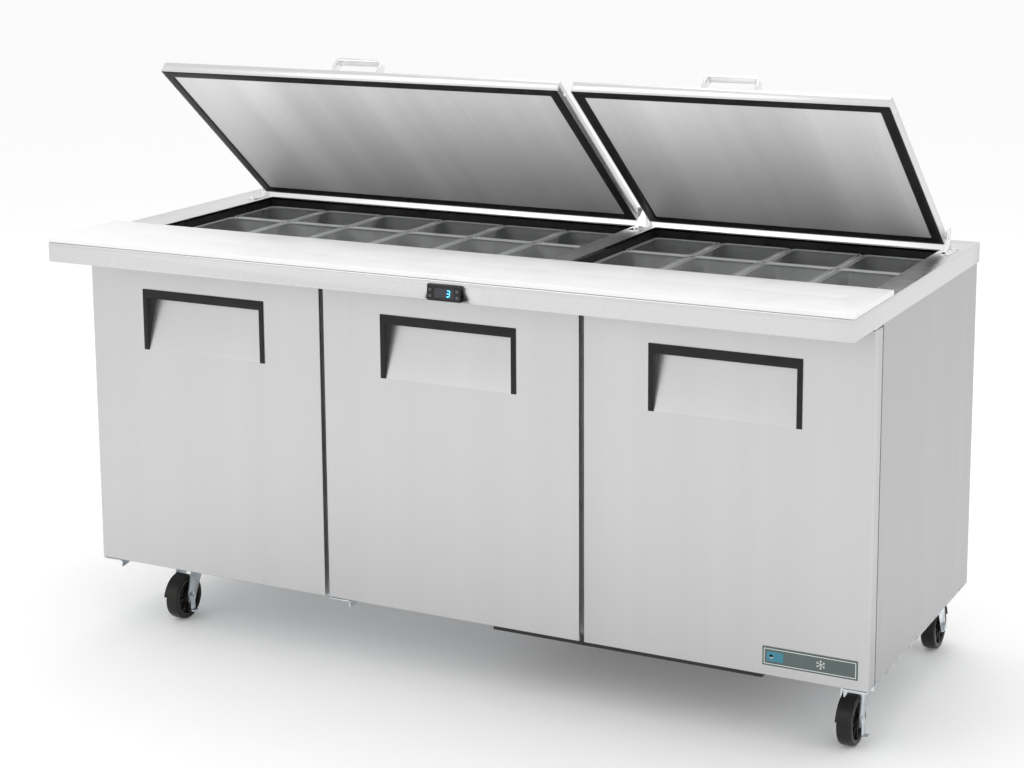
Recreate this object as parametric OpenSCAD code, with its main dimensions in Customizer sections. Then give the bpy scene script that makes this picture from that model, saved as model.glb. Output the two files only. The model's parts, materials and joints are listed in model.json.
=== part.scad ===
// Three-door refrigerated sandwich prep table with two pan wells, on casters.
// Millimetres. Origin on the floor under the middle, +X along the length, +Y to the back, +Z up.

/* [Worktop] */
// Length of the worktop
top_w = 1839; // [1760:1:2300]
// Depth of the worktop
top_d = 866; // [820:1:1060]
// Height of the worktop above the floor
top_h = 915; // [880:1:1100]
// Height of the worktop's turned-down edge
apron_h = 42.5; // [40:0.5:50]
// Thickness of the worktop's sheet
top_sheet = 1.5; // [1:0.1:2.5]

/* [Cabinet] */
// Setback of each cabinet side from the worktop's end
side_inset = 3.5; // [2:0.5:10]
// Overhang of the worktop in front of the doors
overhang = 142.4; // [110:0.1:180]
// Setback of the cabinet's back from the worktop's rear edge
back_inset = 8; // [4:1:12]
// Height of the cabinet's underside
base_h = 151.5; // [151.5:0.5:185]
// Thickness of the insulated walls
wall_t = 50; // [40:1:60]
// Thickness of the outer sheet metal
skin_t = 1; // [0.8:0.1:2]
// Thickness of the inner liner
liner_t = 1.5; // [1:0.1:2.5]
// Depth of the door frame
frame_d = 52; // [40:1:70]
// Width of the posts between the doors
post_w = 64; // [50:1:90]
// Height of the beam over the door openings
beam_h = 36; // [30:1:44]
// Gap left as a seam between neighbouring sheets
seam = 0.2; // [0.1:0.05:0.4]

/* [Doors] */
// Gap between neighbouring doors
door_gap = 10.5; // [9:0.5:16]
// Gap between the doors and the worktop's edge
door_top_gap = 6.5; // [4:0.5:10]
// Thickness of a door without its gasket
door_t = 43.6; // [38:0.1:50]
// Thickness of a door's gasket
gasket_t = 4; // [3:0.5:6]
// Width of a door's gasket
gasket_w = 16; // [12:1:22]
// Inset of the gasket from the door's edge
gasket_inset = 10; // [9:1:16]
// Clearance between a closed gasket and the door frame
gasket_clear = 0.5; // [0.4:0.1:1]
// Distance of the hinge pin from the door's edge
pin_in = 12; // [11:0.5:14]
// Distance of the hinge pin behind the door's face
pin_back = 14; // [13:0.5:16]
// Radius of the hinge pins
pin_r = 4; // [3:0.5:5]
// Radial clearance of a hinge pin in its hole
pin_clear = 0.08; // [0.03:0.01:0.1]
// Length of a hinge pin inside the door
pin_len = 14; // [10:1:18]

/* [Door handles] */
// Width of a handle's trim
handle_w = 320; // [240:1:380]
// Height of a handle's trim
handle_h = 138; // [110:1:160]
// Distance of the handle below the door's top
handle_drop = 69; // [55:1:90]
// Height of the trim's top bar
handle_bar = 20; // [16:1:24]
// Width of the trim's legs
handle_leg = 11; // [8:1:14]
// Depth of the hand pocket at its top
pocket_d = 30; // [22:1:34]
// Thickness of the trim's walls
handle_wall = 2; // [1.5:0.1:3]
// How far the trim stands out of the door
handle_out = 2; // [1:0.1:4]

/* [Wells and pans] */
// Width of a pan over its rim
pan_w = 162; // [150:1:176]
// Depth of a pan over its rim, front to back
pan_l = 176; // [160:1:190]
// Height of a pan
pan_h = 102; // [60:1:104]
// Gap between neighbouring pans
pan_gap = 0.8; // [0.5:0.1:2]
// Width of a pan's rim
pan_rim = 11; // [8:0.5:14]
// Thickness of a pan's walls
pan_wall = 2.6; // [2:0.1:4]
// Pans side by side in the left well
left_cols = 6; // [5, 6]
// Pans side by side in the right well
right_cols = 4; // [3, 4]
// Rows of pans from front to back
pan_rows = 3; // [2, 3]
// Clearance between the pans and the well's walls
well_gap = 3; // [2:0.5:6]
// Depth of the pans' rims below the worktop
rim_drop = 22; // [16:1:30]
// Width of the divider between the wells
divider_w = 49; // [46:1:60]
// Shift of the wells to the right of the worktop's middle
well_shift = 24; // [20:1:30]
// Distance from the door frame's front face to the wells
well_in = 9; // [7:0.5:30]
// Thickness of the wells' walls
well_wall = 3; // [2:0.5:5]

/* [Cutting board] */
// Depth of the cutting board, front to back
board_d = 240; // [215:1:250]
// Thickness of the cutting board
board_t = 11; // [8:0.1:11.4]
// Clearance under the cutting board
board_clear = 0.3; // [0.3:0.1:0.5]

/* [Lids] */
// Length of a lid from its hinge side to its free side
lid_l = 534; // [520:1:545]
// Thickness of a lid
lid_t = 26; // [20:1:34]
// Angle of an open lid above level
lid_open = 39.2; // [20:0.1:60]
// Side play of a lid next to its brackets
lid_play = 4; // [3:0.5:6]
// Height of the lids' pins above the worktop
lid_pin_h = 28; // [24:1:34]
// Width of a lid's gasket
lid_gasket_w = 24; // [18:1:32]
// Thickness of a lid's gasket
lid_gasket_t = 3; // [2:0.5:5]
// Width of a lid's pull handle
pull_w = 120; // [90:1:160]
// Height of a lid's pull handle
pull_h = 36; // [28:1:45]
// Width of the pull handle's strap
pull_strap = 22; // [14:1:26]

/* [Casters] */
// Radius of a caster's wheel
wheel_r = 51; // [38:1:53]
// Width of a caster's wheel
wheel_w = 32; // [24:1:34]
// Distance of the wheel's axle from the swivel's axis
trail = 33; // [25:1:38]
// Radius of the wheels' axles
axle_r = 6; // [5:0.5:7]
// Radial clearance of a wheel on its axle
axle_clear = 0.08; // [0.03:0.01:0.1]

/* [Controls and fittings] */
// Width of the temperature control
control_w = 75; // [70:1:80]
// Height of the temperature control
control_h = 32; // [30:1:34]
// How far the control stands out of the worktop's edge
control_out = 5; // [3:0.5:8]
// Travel of the control's buttons
button_travel = 0.8; // [0.5:0.1:1.2]
// Width of the blank name plate
plate_w = 195; // [150:1:220]
// Height of the blank name plate
plate_h = 39; // [30:1:50]
// Radius of the shelves' thick wires
wire_r = 3; // [2:0.5:4]
// Height of the shelves above the cabinet's underside
shelf_up = 330; // [310:1:360]

/* [Hidden] */
$fn = 48;

// Main planes
half = top_w / 2;
front = -top_d / 2;
rear = top_d / 2;
side_x = half - side_inset;
door_face = front + overhang;
door_rear = door_face + door_t;
frame_front = door_rear + gasket_t + gasket_clear;
frame_back = frame_front + frame_d;
cab_back = rear - back_inset;
cab_top = top_h - apron_h;
floor_z = base_h + wall_t;
base_low = base_h - 5.5;
eps = 0.01;

// Doors
door_w = (2 * side_x - 2 * door_gap) / 3;
door_top = cab_top - door_top_gap;
door_x0 = [for (i = [0:2]) -side_x + i * (door_w + door_gap)];
door_hinge_left = [true, true, false];
door_color = [0.8, 0.81, 0.82];
handle_top = door_top - handle_drop;
handle_low = handle_top - handle_h;
hinge_t = 3;
gusset_h = 15;
gusset_in = 6;

// Wells
pitch_x = pan_w + pan_gap;
pitch_y = pan_l + pan_gap;
left_w = left_cols * pitch_x - pan_gap + 2 * well_gap;
right_w = right_cols * pitch_x - pan_gap + 2 * well_gap;
wells_w = left_w + divider_w + right_w;
left_x0 = -wells_w / 2 + well_shift;
left_x1 = left_x0 + left_w;
right_x0 = left_x1 + divider_w;
right_x1 = right_x0 + right_w;
well_y0 = frame_front + well_in;
well_y1 = well_y0 + pan_rows * pitch_y - pan_gap + 2 * well_gap;
rim_z = top_h - rim_drop;
rim_t = 2.6;
ledge_z = rim_z - rim_t;
pan_foot = rim_z - pan_h;
well_low = pan_foot - 8;
beam_z1 = well_low - 4;
beam_z0 = beam_z1 - beam_h;
ceiling_z = beam_z0 + 10;

// Lids, drawn closed and then turned to the open angle about their pins
lid_axis_y = well_y1 - 2;
lid_axis_z = top_h + lid_pin_h;
lid_low = top_h + board_clear + board_t + 0.9;
lid_y1 = lid_axis_y + 5;
lid_y0 = lid_y1 - lid_l;
lid_pin_r = 4;
lid_over = 12;
bracket_gap = (divider_w - 22) / 2 - lid_play;
lid_left_x0 = left_x0 - lid_over;
lid_left_x1 = left_x1 + bracket_gap;
lid_right_x0 = right_x0 - bracket_gap;
lid_right_x1 = right_x1 + lid_over;
steel = [0.78, 0.79, 0.8];
zinc = [0.7, 0.74, 0.76];
black = [0.07, 0.07, 0.075];

// Casters
caster_left_x = -half + 160;
caster_right_x = half - 64;
caster_front_y = door_face + 125;
caster_rear_y = rear - 83;
crown_z = base_low - 14;
crown_t = 8;
fork_in = wheel_w / 2 + 3.5;
fork_t = 3;

// Temperature control
control_x = 75;
control_z = top_h - 25.5;
button_r = 3.2;
button_hole = 4.5;
button_proud = 0.1;

// Machine space at the back
unit_x0 = 60;
unit_x1 = 680;
unit_y0 = cab_back - 300;
unit_top = base_h + 265;
unit_wall = 30;
grille_out = 1;
tray_in = 24;
tray_low = base_low - 32;
fan_x = 250;
fan_z = base_h + 130;
fan_r = 88;
coil_x = -260;
coil_w = 420;
coil_y = cab_back - wall_t - 110;
coil_z0 = ceiling_z - 190;
evap_fan_r = 70;
evap_fan_z = coil_z0 + 95;

module slab(x0, x1, y0, y1, z0, z1) {
    translate([x0, y0, z0]) cube([x1 - x0, y1 - y0, z1 - z0]);
}

module worktop() {
    color(steel) difference() {
        slab(-half, half, front, rear, top_h - apron_h, top_h);
        slab(-half + top_sheet, half - top_sheet, front + top_sheet, rear - top_sheet,
             top_h - apron_h - 1, top_h - top_sheet);
        slab(left_x0, left_x1, well_y0, well_y1, top_h - 10, top_h + 1);
        slab(right_x0, right_x1, well_y0, well_y1, top_h - 10, top_h + 1);
        control_cut();
    }
}

module well_box(x0, x1) {
    difference() {
        slab(x0 - well_wall, x1 + well_wall, well_y0 - well_wall, well_y1 + well_wall,
             well_low, top_h - top_sheet - seam);
        slab(x0, x1, well_y0, well_y1, well_low - 1, top_h);
    }
    ledge = well_gap + 5;
    for (y = [well_y0 - eps, well_y1 - ledge + eps])
        slab(x0 - eps, x1 + eps, y, y + ledge, ledge_z - 3, ledge_z - seam);
    for (i = [1:pan_rows - 1])
        slab(x0 - eps, x1 + eps, well_y0 + well_gap + i * pitch_y - pan_gap / 2 - 6,
             well_y0 + well_gap + i * pitch_y - pan_gap / 2 + 6, ledge_z - 3, ledge_z - seam);
}

module well_walls() {
    color(black) well_box(left_x0, left_x1);
    color(black) well_box(right_x0, right_x1);
}

module well_floor() {
    color(steel)
        for (x = [[left_x0, left_x1], [right_x0, right_x1]])
            slab(x[0], x[1], well_y0, well_y1, well_low, well_low + 1.5);
}

module pan(x, y) {
    inner = pan_rim + pan_wall;
    translate([x, y, 0]) difference() {
        union() {
            slab(0, pan_w, 0, pan_l, rim_z - rim_t, rim_z);
            slab(pan_rim, pan_w - pan_rim, pan_rim, pan_l - pan_rim, pan_foot, rim_z - eps);
        }
        slab(inner, pan_w - inner, inner, pan_l - inner, pan_foot + pan_wall, rim_z + 1);
    }
}

module pan_field(x0, cols) {
    for (i = [0:cols - 1])
        for (j = [0:pan_rows - 1])
            pan(x0 + well_gap + i * pitch_x, well_y0 + well_gap + j * pitch_y);
}

module pans() {
    color([0.75, 0.8, 0.82, 0.5]) {
        pan_field(left_x0, left_cols);
        pan_field(right_x0, right_cols);
    }
}

module cutting_board() {
    low = top_h + board_clear;
    color("white") difference() {
        slab(-half, half, front, front + board_d, low, low + board_t);
        for (x = [-half + 77, half - 77])
            slab(x - 12.5, x + 12.5, front + 125, front + 131, low - 1, low + board_t + 1);
    }
}

module side_panel(side) {
    x0 = side < 0 ? -side_x : side_x - skin_t;
    color(steel) slab(x0, x0 + skin_t, frame_front, cab_back - skin_t - seam, base_h, cab_top - seam);
    x1 = side < 0 ? -side_x + skin_t - eps : side_x - wall_t + liner_t + seam;
    color(steel) slab(x1, x1 + wall_t - skin_t - liner_t - seam + eps, frame_front,
                      frame_front + skin_t, base_h, cab_top - seam);
}

module side_panel_left() { side_panel(-1); }
module side_panel_right() { side_panel(1); }

module back_panel() {
    color(steel) difference() {
        slab(-side_x, side_x, cab_back - skin_t, cab_back, base_h, cab_top - seam);
        slab(unit_x0, unit_x1, cab_back - 5, cab_back + 5, base_h - 1, unit_top);
    }
}

module base_pan() {
    color([0.6, 0.62, 0.64]) difference() {
        slab(-side_x, side_x, frame_front, cab_back, base_low, base_h - seam);
        slab(unit_x0, unit_x1, unit_y0, cab_back + 1, base_low - 1, base_h + 1);
    }
}

module face_frame() {
    y0 = frame_front;
    in_x = side_x - wall_t + liner_t;
    foot = base_h + wall_t - 6;
    color(steel) {
        slab(-in_x, in_x, y0, well_y0 - well_wall - seam, beam_z1 + seam, cab_top - seam);
        slab(-in_x, in_x, y0, frame_back, beam_z0, beam_z1);
        slab(-in_x, in_x, y0, frame_back, base_h, foot);
        for (i = [1, 2]) {
            mid = door_x0[i] - door_gap / 2;
            slab(mid - post_w / 2, mid + post_w / 2, y0, frame_back, foot + seam, beam_z0 - seam);
        }
    }
}

module insulation() {
    y0 = frame_back + seam;
    side_y0 = frame_front + skin_t + seam;
    y1 = cab_back - skin_t - seam;
    back = y1 - wall_t + skin_t + liner_t + 2 * seam;
    in_x = side_x - wall_t + liner_t + seam;
    out_x = side_x - skin_t - seam;
    mid_z = ceiling_z + liner_t + seam;
    top_z = cab_top - 2 * seam;
    gap = well_wall + seam;
    color([0.85, 0.8, 0.6]) {
        // Side walls below and beside the wells
        slab(-out_x, -in_x, side_y0, y1, base_h, mid_z);
        slab(in_x, out_x, side_y0, y1, base_h, mid_z);
        slab(-out_x, left_x0 - gap, frame_back + seam, y1, mid_z + seam, top_z);
        slab(max(right_x1 + gap, in_x), out_x, frame_back + seam, y1, mid_z + seam, top_z);
        // Over the ceiling, behind and between the wells
        slab(left_x0 - gap + seam, right_x1 + gap - seam, frame_back + seam, y1, mid_z + seam, well_low - seam);
        slab(left_x0 - gap + seam, right_x1 + gap - seam, well_y1 + gap, y1, well_low, top_z);
        slab(left_x1 + gap, right_x0 - gap, well_y0, well_y1 + gap - seam, well_low, top_z);
        // Back wall, floor and the walls of the machine space
        slab(-in_x + seam, unit_x0 - seam, back, y1, base_h, mid_z);
        slab(unit_x1 + seam, in_x - seam, back, y1, base_h, mid_z);
        slab(unit_x0, unit_x1, back, y1, unit_top + unit_wall, mid_z);
        slab(unit_x0, unit_x1, unit_y0 - unit_wall, y1, unit_top + seam, unit_top + unit_wall - seam);
        slab(unit_x0, unit_x1, unit_y0 - unit_wall, unit_y0 - seam, floor_z - 2, unit_top);
        slab(-in_x + seam, unit_x0 - seam, y0, back - seam, base_h, floor_z - liner_t - seam);
        slab(unit_x1 + seam, in_x - seam, y0, back - seam, base_h, floor_z - liner_t - seam);
        slab(unit_x0, unit_x1, y0, unit_y0 - seam, base_h, floor_z - 2 - seam);
    }
}

module liner() {
    y0 = frame_back + seam;
    y1 = cab_back - wall_t + skin_t;
    in_x = side_x - wall_t;
    step_y = unit_y0 - unit_wall - seam;
    step_z = unit_top + unit_wall;
    color([0.88, 0.89, 0.9]) {
        slab(-in_x - liner_t, -in_x, y0, y1, floor_z, ceiling_z);
        slab(in_x, in_x + liner_t, y0, y1, floor_z, ceiling_z);
        slab(-in_x + seam, unit_x0 - 2 * liner_t, y1 - liner_t, y1, floor_z, ceiling_z);
        slab(unit_x1 + 2 * liner_t, in_x - seam, y1 - liner_t, y1, floor_z, ceiling_z);
        slab(unit_x0, unit_x1, y1 - liner_t, y1, step_z + liner_t + seam, ceiling_z);
        slab(-in_x + seam, in_x - seam, y0, step_y - liner_t - seam, floor_z - liner_t, floor_z);
        slab(-in_x + seam, unit_x0 - 2 * liner_t, step_y, y1 - liner_t - seam, floor_z - liner_t, floor_z);
        slab(unit_x1 + 2 * liner_t, in_x - seam, step_y, y1 - liner_t - seam, floor_z - liner_t, floor_z);
        slab(unit_x0, unit_x1, step_y - liner_t, y1 - liner_t - seam, step_z, step_z + liner_t);
        slab(unit_x0, unit_x1, step_y - liner_t, step_y, floor_z, step_z - seam);
        slab(unit_x0 - 2 * liner_t + seam, unit_x0 - liner_t, step_y, y1 - liner_t - seam, floor_z, step_z);
        slab(unit_x1 + liner_t, unit_x1 + 2 * liner_t - seam, step_y, y1 - liner_t - seam, floor_z, step_z);
        slab(-in_x + seam, in_x - seam, y0, y1, ceiling_z + seam, ceiling_z + liner_t);
    }
    color(steel) for (i = [0:2]) for (y = [y0 + 30, step_y - 60]) for (side = [0, 1]) {
        x = side == 0 ? shelf_x0(i) - 12 : shelf_x1(i) + 4;
        slab(x, x + 8, y, y + 16, floor_z + seam, ceiling_z - seam);
    }
}

function shelf_x0(i) = i == 0 ? -side_x + wall_t + 14 : door_x0[i] - door_gap / 2 + 14;
function shelf_x1(i) = i == 2 ? side_x - wall_t - 14 : door_x0[i] + door_w + door_gap / 2 - 14;

module wire(p, q, r) {
    d = q - p;
    translate(p) rotate([d[1] != 0 ? -90 : 0, d[0] != 0 ? 90 : 0, 0]) cylinder(h = norm(d), r = r, $fn = 16);
}

module shelf(x0, x1, y0, y1, z) {
    bars = 18;
    for (y = [y0, (y0 + y1) / 2, y1]) wire([x0, y, z], [x1, y, z], wire_r);
    for (i = [0:bars - 1]) {
        x = x0 + 6 + i * (x1 - x0 - 12) / (bars - 1);
        wire([x, y0 - 4, z + wire_r + 1], [x, y1 + 4, z + wire_r + 1], 2);
    }
}

module shelves() {
    color([0.82, 0.83, 0.8])
        for (i = [0:2])
            shelf(shelf_x0(i) + 1, shelf_x1(i) - 1, frame_back + 20, unit_y0 - 50, base_h + shelf_up);
}

function pin_x(i) = door_hinge_left[i] ? door_x0[i] + pin_in : door_x0[i] + door_w - pin_in;

module door_shape(i, grow, z_grow) {
    slab(door_x0[i] + grow, door_x0[i] + door_w - grow, door_face + grow, door_rear - seam,
         base_h + z_grow, door_top - z_grow);
}

module pocket_wedge(i, side_out, back_out) {
    // Hand pocket: deepest under the top bar, meeting the door's face at its foot
    mid = door_x0[i] + door_w / 2;
    w = handle_w / 2 - handle_leg + side_out;
    y = door_face;
    top = handle_top - handle_bar + side_out;
    translate([mid - w, 0, 0]) rotate([90, 0, 90]) linear_extrude(height = 2 * w)
        polygon([[y - 1, handle_low + 1], [y - 1, top], [y + pocket_d + back_out, top],
                 [y + pocket_d + back_out, top - 18], [y + back_out, handle_low - 1 - 3 * back_out],
                 [y - 1, handle_low - 1 - 3 * back_out]]);
}

module pin_bores(i) {
    for (z = [base_h - 1, door_top - pin_len - 1])
        translate([pin_x(i), door_face + pin_back, z]) cylinder(h = pin_len + 2, r = pin_r + pin_clear);
}

module door_skin(i) {
    color(door_color) difference() {
        union() {
            difference() {
                door_shape(i, 0, 0);
                slab(door_x0[i] + skin_t, door_x0[i] + door_w - skin_t, door_face + skin_t, door_rear + 1,
                     base_h + skin_t, door_top - skin_t);
            }
            intersection() {
                door_shape(i, 0, 0);
                pocket_wedge(i, handle_wall + skin_t, skin_t);
            }
        }
        pocket_wedge(i, handle_wall, 0);
        pin_bores(i);
    }
}

module door_core(i) {
    color([0.86, 0.87, 0.88]) difference() {
        slab(door_x0[i] + skin_t + seam, door_x0[i] + door_w - skin_t - seam, door_face + skin_t + seam,
             door_rear - seam, base_h + skin_t + seam, door_top - skin_t - seam);
        pocket_wedge(i, handle_wall + skin_t + seam, skin_t + seam);
        translate([0, 0, skin_t]) pin_bores(i);
        translate([0, 0, -skin_t]) pin_bores(i);
    }
}

module door_gasket(i) {
    a = gasket_inset;
    b = gasket_inset + gasket_w;
    color(black) difference() {
        slab(door_x0[i] + a, door_x0[i] + door_w - a, door_rear, door_rear + gasket_t,
             base_h + a, door_top - a);
        slab(door_x0[i] + b, door_x0[i] + door_w - b, door_rear - 1, door_rear + gasket_t + 1,
             base_h + b, door_top - b);
    }
}

module door_handle(i) {
    mid = door_x0[i] + door_w / 2;
    w = handle_w / 2;
    gap = seam / 2;
    color(black) {
        difference() {
            slab(mid - w, mid + w, door_face - handle_out, door_face - gap, handle_low, handle_top);
            slab(mid - w + handle_leg, mid + w - handle_leg, door_face - handle_out - 1, door_face + 1,
                 handle_low - 1, handle_top - handle_bar);
        }
        intersection() {
            slab(mid - w, mid + w, door_face - gap - eps, door_rear, handle_low - 1, handle_top);
            difference() {
                pocket_wedge(i, handle_wall - seam, -seam);
                slab(mid - w + handle_leg, mid + w - handle_leg, door_face - 9, door_rear,
                     handle_low - 30, handle_top - handle_bar);
            }
        }
    }
}

module door_skin_left() { door_skin(0); }
module door_core_left() { door_core(0); }
module door_gasket_left() { door_gasket(0); }
module door_handle_left() { door_handle(0); }
module door_skin_middle() { door_skin(1); }
module door_core_middle() { door_core(1); }
module door_gasket_middle() { door_gasket(1); }
module door_handle_middle() { door_handle(1); }
module door_skin_right() { door_skin(2); }
module door_core_right() { door_core(2); }
module door_gasket_right() { door_gasket(2); }
module door_handle_right() { door_handle(2); }

module hinge_bracket(i, low) {
    // A plate under or over the door with its pin, and a flange on the frame
    x = pin_x(i);
    inward = door_hinge_left[i] ? 1 : -1;
    xa = min(x - inward * 11, x + inward * 38);
    xb = max(x - inward * 11, x + inward * 38);
    y = door_face + pin_back;
    plate = low ? base_h - 4 : door_top + 1;
    color(zinc) {
        slab(xa, xb, door_face + 1, frame_front - seam, plate, plate + hinge_t);
        if (low) {
            slab(xa, xb, frame_front - 3 - seam, frame_front - seam, base_h - 14, plate + eps);
            // Triangular gusset across the inner end, deepest at the front
            translate([inward > 0 ? xb : xa + hinge_t, 0, plate + eps]) rotate([0, -90, 0])
                linear_extrude(hinge_t) polygon([[-gusset_h, door_face + gusset_in], [0, door_face + gusset_in],
                                                 [0, frame_front - 1], [-gusset_h + 6, frame_front - 1]]);
        }
        translate([x, y, low ? plate + 2 : plate - pin_len]) cylinder(h = pin_len + 1, r = pin_r);
    }
}

module door_hinges() {
    for (i = [0:2]) {
        hinge_bracket(i, true);
        hinge_bracket(i, false);
    }
}

module lid_turn() {
    translate([0, lid_axis_y, lid_axis_z]) rotate([-lid_open, 0, 0])
        translate([0, -lid_axis_y, -lid_axis_z]) children();
}

module lid_skin(x0, x1, pin_out) {
    color(steel) lid_turn() {
        difference() {
            slab(x0, x1, lid_y0, lid_y1, lid_low + 1, lid_low + lid_t);
            slab(x0 + skin_t, x1 - skin_t, lid_y0 + skin_t, lid_y1 - skin_t, lid_low, lid_low + lid_t - skin_t);
        }
        for (p = pin_out)
            translate([p, lid_axis_y, lid_axis_z]) rotate([0, 90, 0]) cylinder(h = lid_play + 4.5, r = lid_pin_r);
    }
}

module lid_panel(x0, x1) {
    gap = skin_t + seam;
    color([0.7, 0.71, 0.72]) lid_turn()
        slab(x0 + gap, x1 - gap, lid_y0 + gap, lid_y1 - gap, lid_low + lid_gasket_t, lid_low + lid_t - gap);
}

module lid_gasket(x0, x1) {
    gap = skin_t + seam;
    color(black) lid_turn() difference() {
        slab(x0 + gap, x1 - gap, lid_y0 + gap, lid_y1 - gap, lid_low, lid_low + lid_gasket_t - seam);
        slab(x0 + lid_gasket_w, x1 - lid_gasket_w, lid_y0 + lid_gasket_w, lid_y1 - lid_gasket_w,
             lid_low - 1, lid_low + lid_gasket_t);
    }
}

module lid_handle(x0, x1) {
    mid = (x0 + x1) / 2;
    top = lid_low + lid_t + seam;
    y = lid_y0 + 6;
    color(zinc) lid_turn() difference() {
        slab(mid - pull_w / 2, mid + pull_w / 2, y, y + pull_strap, top, top + pull_h);
        slab(mid - pull_w / 2 + 9, mid + pull_w / 2 - 9, y - 1, y + pull_strap + 1, top - 1, top + pull_h - 6);
    }
}

module lid_skin_left() { lid_skin(lid_left_x0, lid_left_x1, [lid_left_x0 - lid_play - 4, lid_left_x1 - 0.5]); }
module lid_panel_left() { lid_panel(lid_left_x0, lid_left_x1); }
module lid_gasket_left() { lid_gasket(lid_left_x0, lid_left_x1); }
module lid_handle_left() { lid_handle(lid_left_x0, lid_left_x1); }
module lid_skin_right() { lid_skin(lid_right_x0, lid_right_x1, [lid_right_x0 - lid_play - 4, lid_right_x1 - 0.5]); }
module lid_panel_right() { lid_panel(lid_right_x0, lid_right_x1); }
module lid_gasket_right() { lid_gasket(lid_right_x0, lid_right_x1); }
module lid_handle_right() { lid_handle(lid_right_x0, lid_right_x1); }

module bracket_ear(x) {
    difference() {
        slab(x, x + 3, lid_axis_y - 12, lid_axis_y + 16, top_h, lid_axis_z + 18);
        translate([x - 1, lid_axis_y, lid_axis_z]) rotate([0, 90, 0]) cylinder(h = 5, r = lid_pin_r + pin_clear);
    }
}

module lid_brackets() {
    y0 = lid_axis_y - 12;
    mid = (lid_left_x1 + lid_right_x0) / 2;
    color(zinc) {
        // Middle bracket: a channel on a long foot
        bracket_ear(mid - 11);
        bracket_ear(mid + 8);
        slab(mid - 11, mid + 11, y0, y0 + 2, top_h, lid_axis_z + 18);
        slab(mid - 14, mid + 14, y0 - 52, lid_axis_y + 16, top_h, top_h + 2.5);
        // End brackets: one ear each, on a foot that points away from the lid
        for (side = [-1, 1]) {
            ear = side < 0 ? lid_left_x0 - lid_play - 3 : lid_right_x1 + lid_play;
            foot = side < 0 ? ear - 16 : ear;
            bracket_ear(ear);
            slab(foot, foot + 19, y0 - 40, lid_axis_y + 16, top_h, top_h + 2.5);
        }
    }
}

module name_plate() {
    x1 = side_x - 20;
    color([0.4, 0.46, 0.45])
        slab(x1 - plate_w, x1, door_face - 1.2, door_face - seam / 2, base_h + 21, base_h + 21 + plate_h);
}

function caster_x(side) = side < 0 ? caster_left_x : caster_right_x;
function caster_y(end) = end < 0 ? caster_front_y : caster_rear_y;

module caster_mounts() {
    color(zinc) for (side = [-1, 1]) for (end = [-1, 1])
        translate([caster_x(side), caster_y(end), 0]) {
            slab(-50, 50, -33, 33, base_low - 3, base_low - seam);
            translate([0, 0, crown_z + 0.4]) cylinder(h = base_low - crown_z - 3, r = 27);
            translate([0, 0, crown_z - crown_t - 4]) cylinder(h = crown_t + 6, r = axle_r);
            translate([0, 0, crown_z - crown_t - 6]) cylinder(h = 5.6, r = 10);
        }
}

module fork_leg(x, dir) {
    translate([x, 0, 0]) rotate([90, 0, 90]) linear_extrude(height = fork_t)
        polygon([[-dir * 24, crown_z - crown_t + eps], [dir * (trail - 11), wheel_r - 9],
                 [dir * (trail + 11), wheel_r - 9], [dir * (trail + 13), wheel_r + 12],
                 [dir * 30, crown_z - crown_t + eps]]);
}

module caster_fork(side, end) {
    dir = end;
    color(zinc) translate([caster_x(side), caster_y(end), 0]) {
        difference() {
            union() {
                translate([0, 0, crown_z - crown_t]) cylinder(h = crown_t, r = 28);
                slab(-fork_in - fork_t, fork_in + fork_t, min(-dir * 24, dir * 30), max(-dir * 24, dir * 30),
                     crown_z - crown_t, crown_z - crown_t + 3);
            }
            translate([0, 0, crown_z - crown_t - 1]) cylinder(h = crown_t + 2, r = axle_r + axle_clear);
        }
        fork_leg(fork_in, dir);
        fork_leg(-fork_in - fork_t, dir);
        translate([-fork_in - fork_t - 5, dir * trail, wheel_r]) rotate([0, 90, 0])
            cylinder(h = 2 * (fork_in + fork_t) + 10, r = axle_r);
    }
}

module caster_wheel(side, end) {
    w = wheel_w / 2;
    color(black) translate([caster_x(side), caster_y(end) + end * trail, wheel_r]) rotate([0, 90, 0])
        rotate_extrude($fn = 96)
            polygon([[axle_r + axle_clear, -w - 2], [14, -w - 2], [16, -w + 5], [wheel_r - 12, -w + 5],
                     [wheel_r - 9, -w], [wheel_r - 3, -w], [wheel_r, -w + 4], [wheel_r, w - 4],
                     [wheel_r - 3, w], [wheel_r - 9, w], [wheel_r - 12, w - 5], [16, w - 5],
                     [14, w + 2], [axle_r + axle_clear, w + 2]]);
}

module caster_fork_front_left() { caster_fork(-1, -1); }
module caster_fork_front_right() { caster_fork(1, -1); }
module caster_fork_rear_left() { caster_fork(-1, 1); }
module caster_fork_rear_right() { caster_fork(1, 1); }
module caster_wheel_front_left() { caster_wheel(-1, -1); }
module caster_wheel_front_right() { caster_wheel(1, -1); }
module caster_wheel_rear_left() { caster_wheel(-1, 1); }
module caster_wheel_rear_right() { caster_wheel(1, 1); }

module brake_pedal(side) {
    // A lever that turns on the axle's end outside the fork, with a tab to step on
    x = fork_in + fork_t + 0.4;
    color(zinc) translate([caster_x(side) + x, caster_y(-1) - trail, wheel_r]) {
        difference() {
            union() {
                rotate([0, 90, 0]) cylinder(h = 3, r = 11);
                slab(0, 3, -8, 8, -26, 0);
                slab(0, 14, -12, 6, -29, -26);
            }
            translate([-1, 0, 0]) rotate([0, 90, 0]) cylinder(h = 5, r = axle_r + axle_clear);
        }
    }
}

module brake_pedal_left() { brake_pedal(-1); }
module brake_pedal_right() { brake_pedal(1); }

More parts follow.
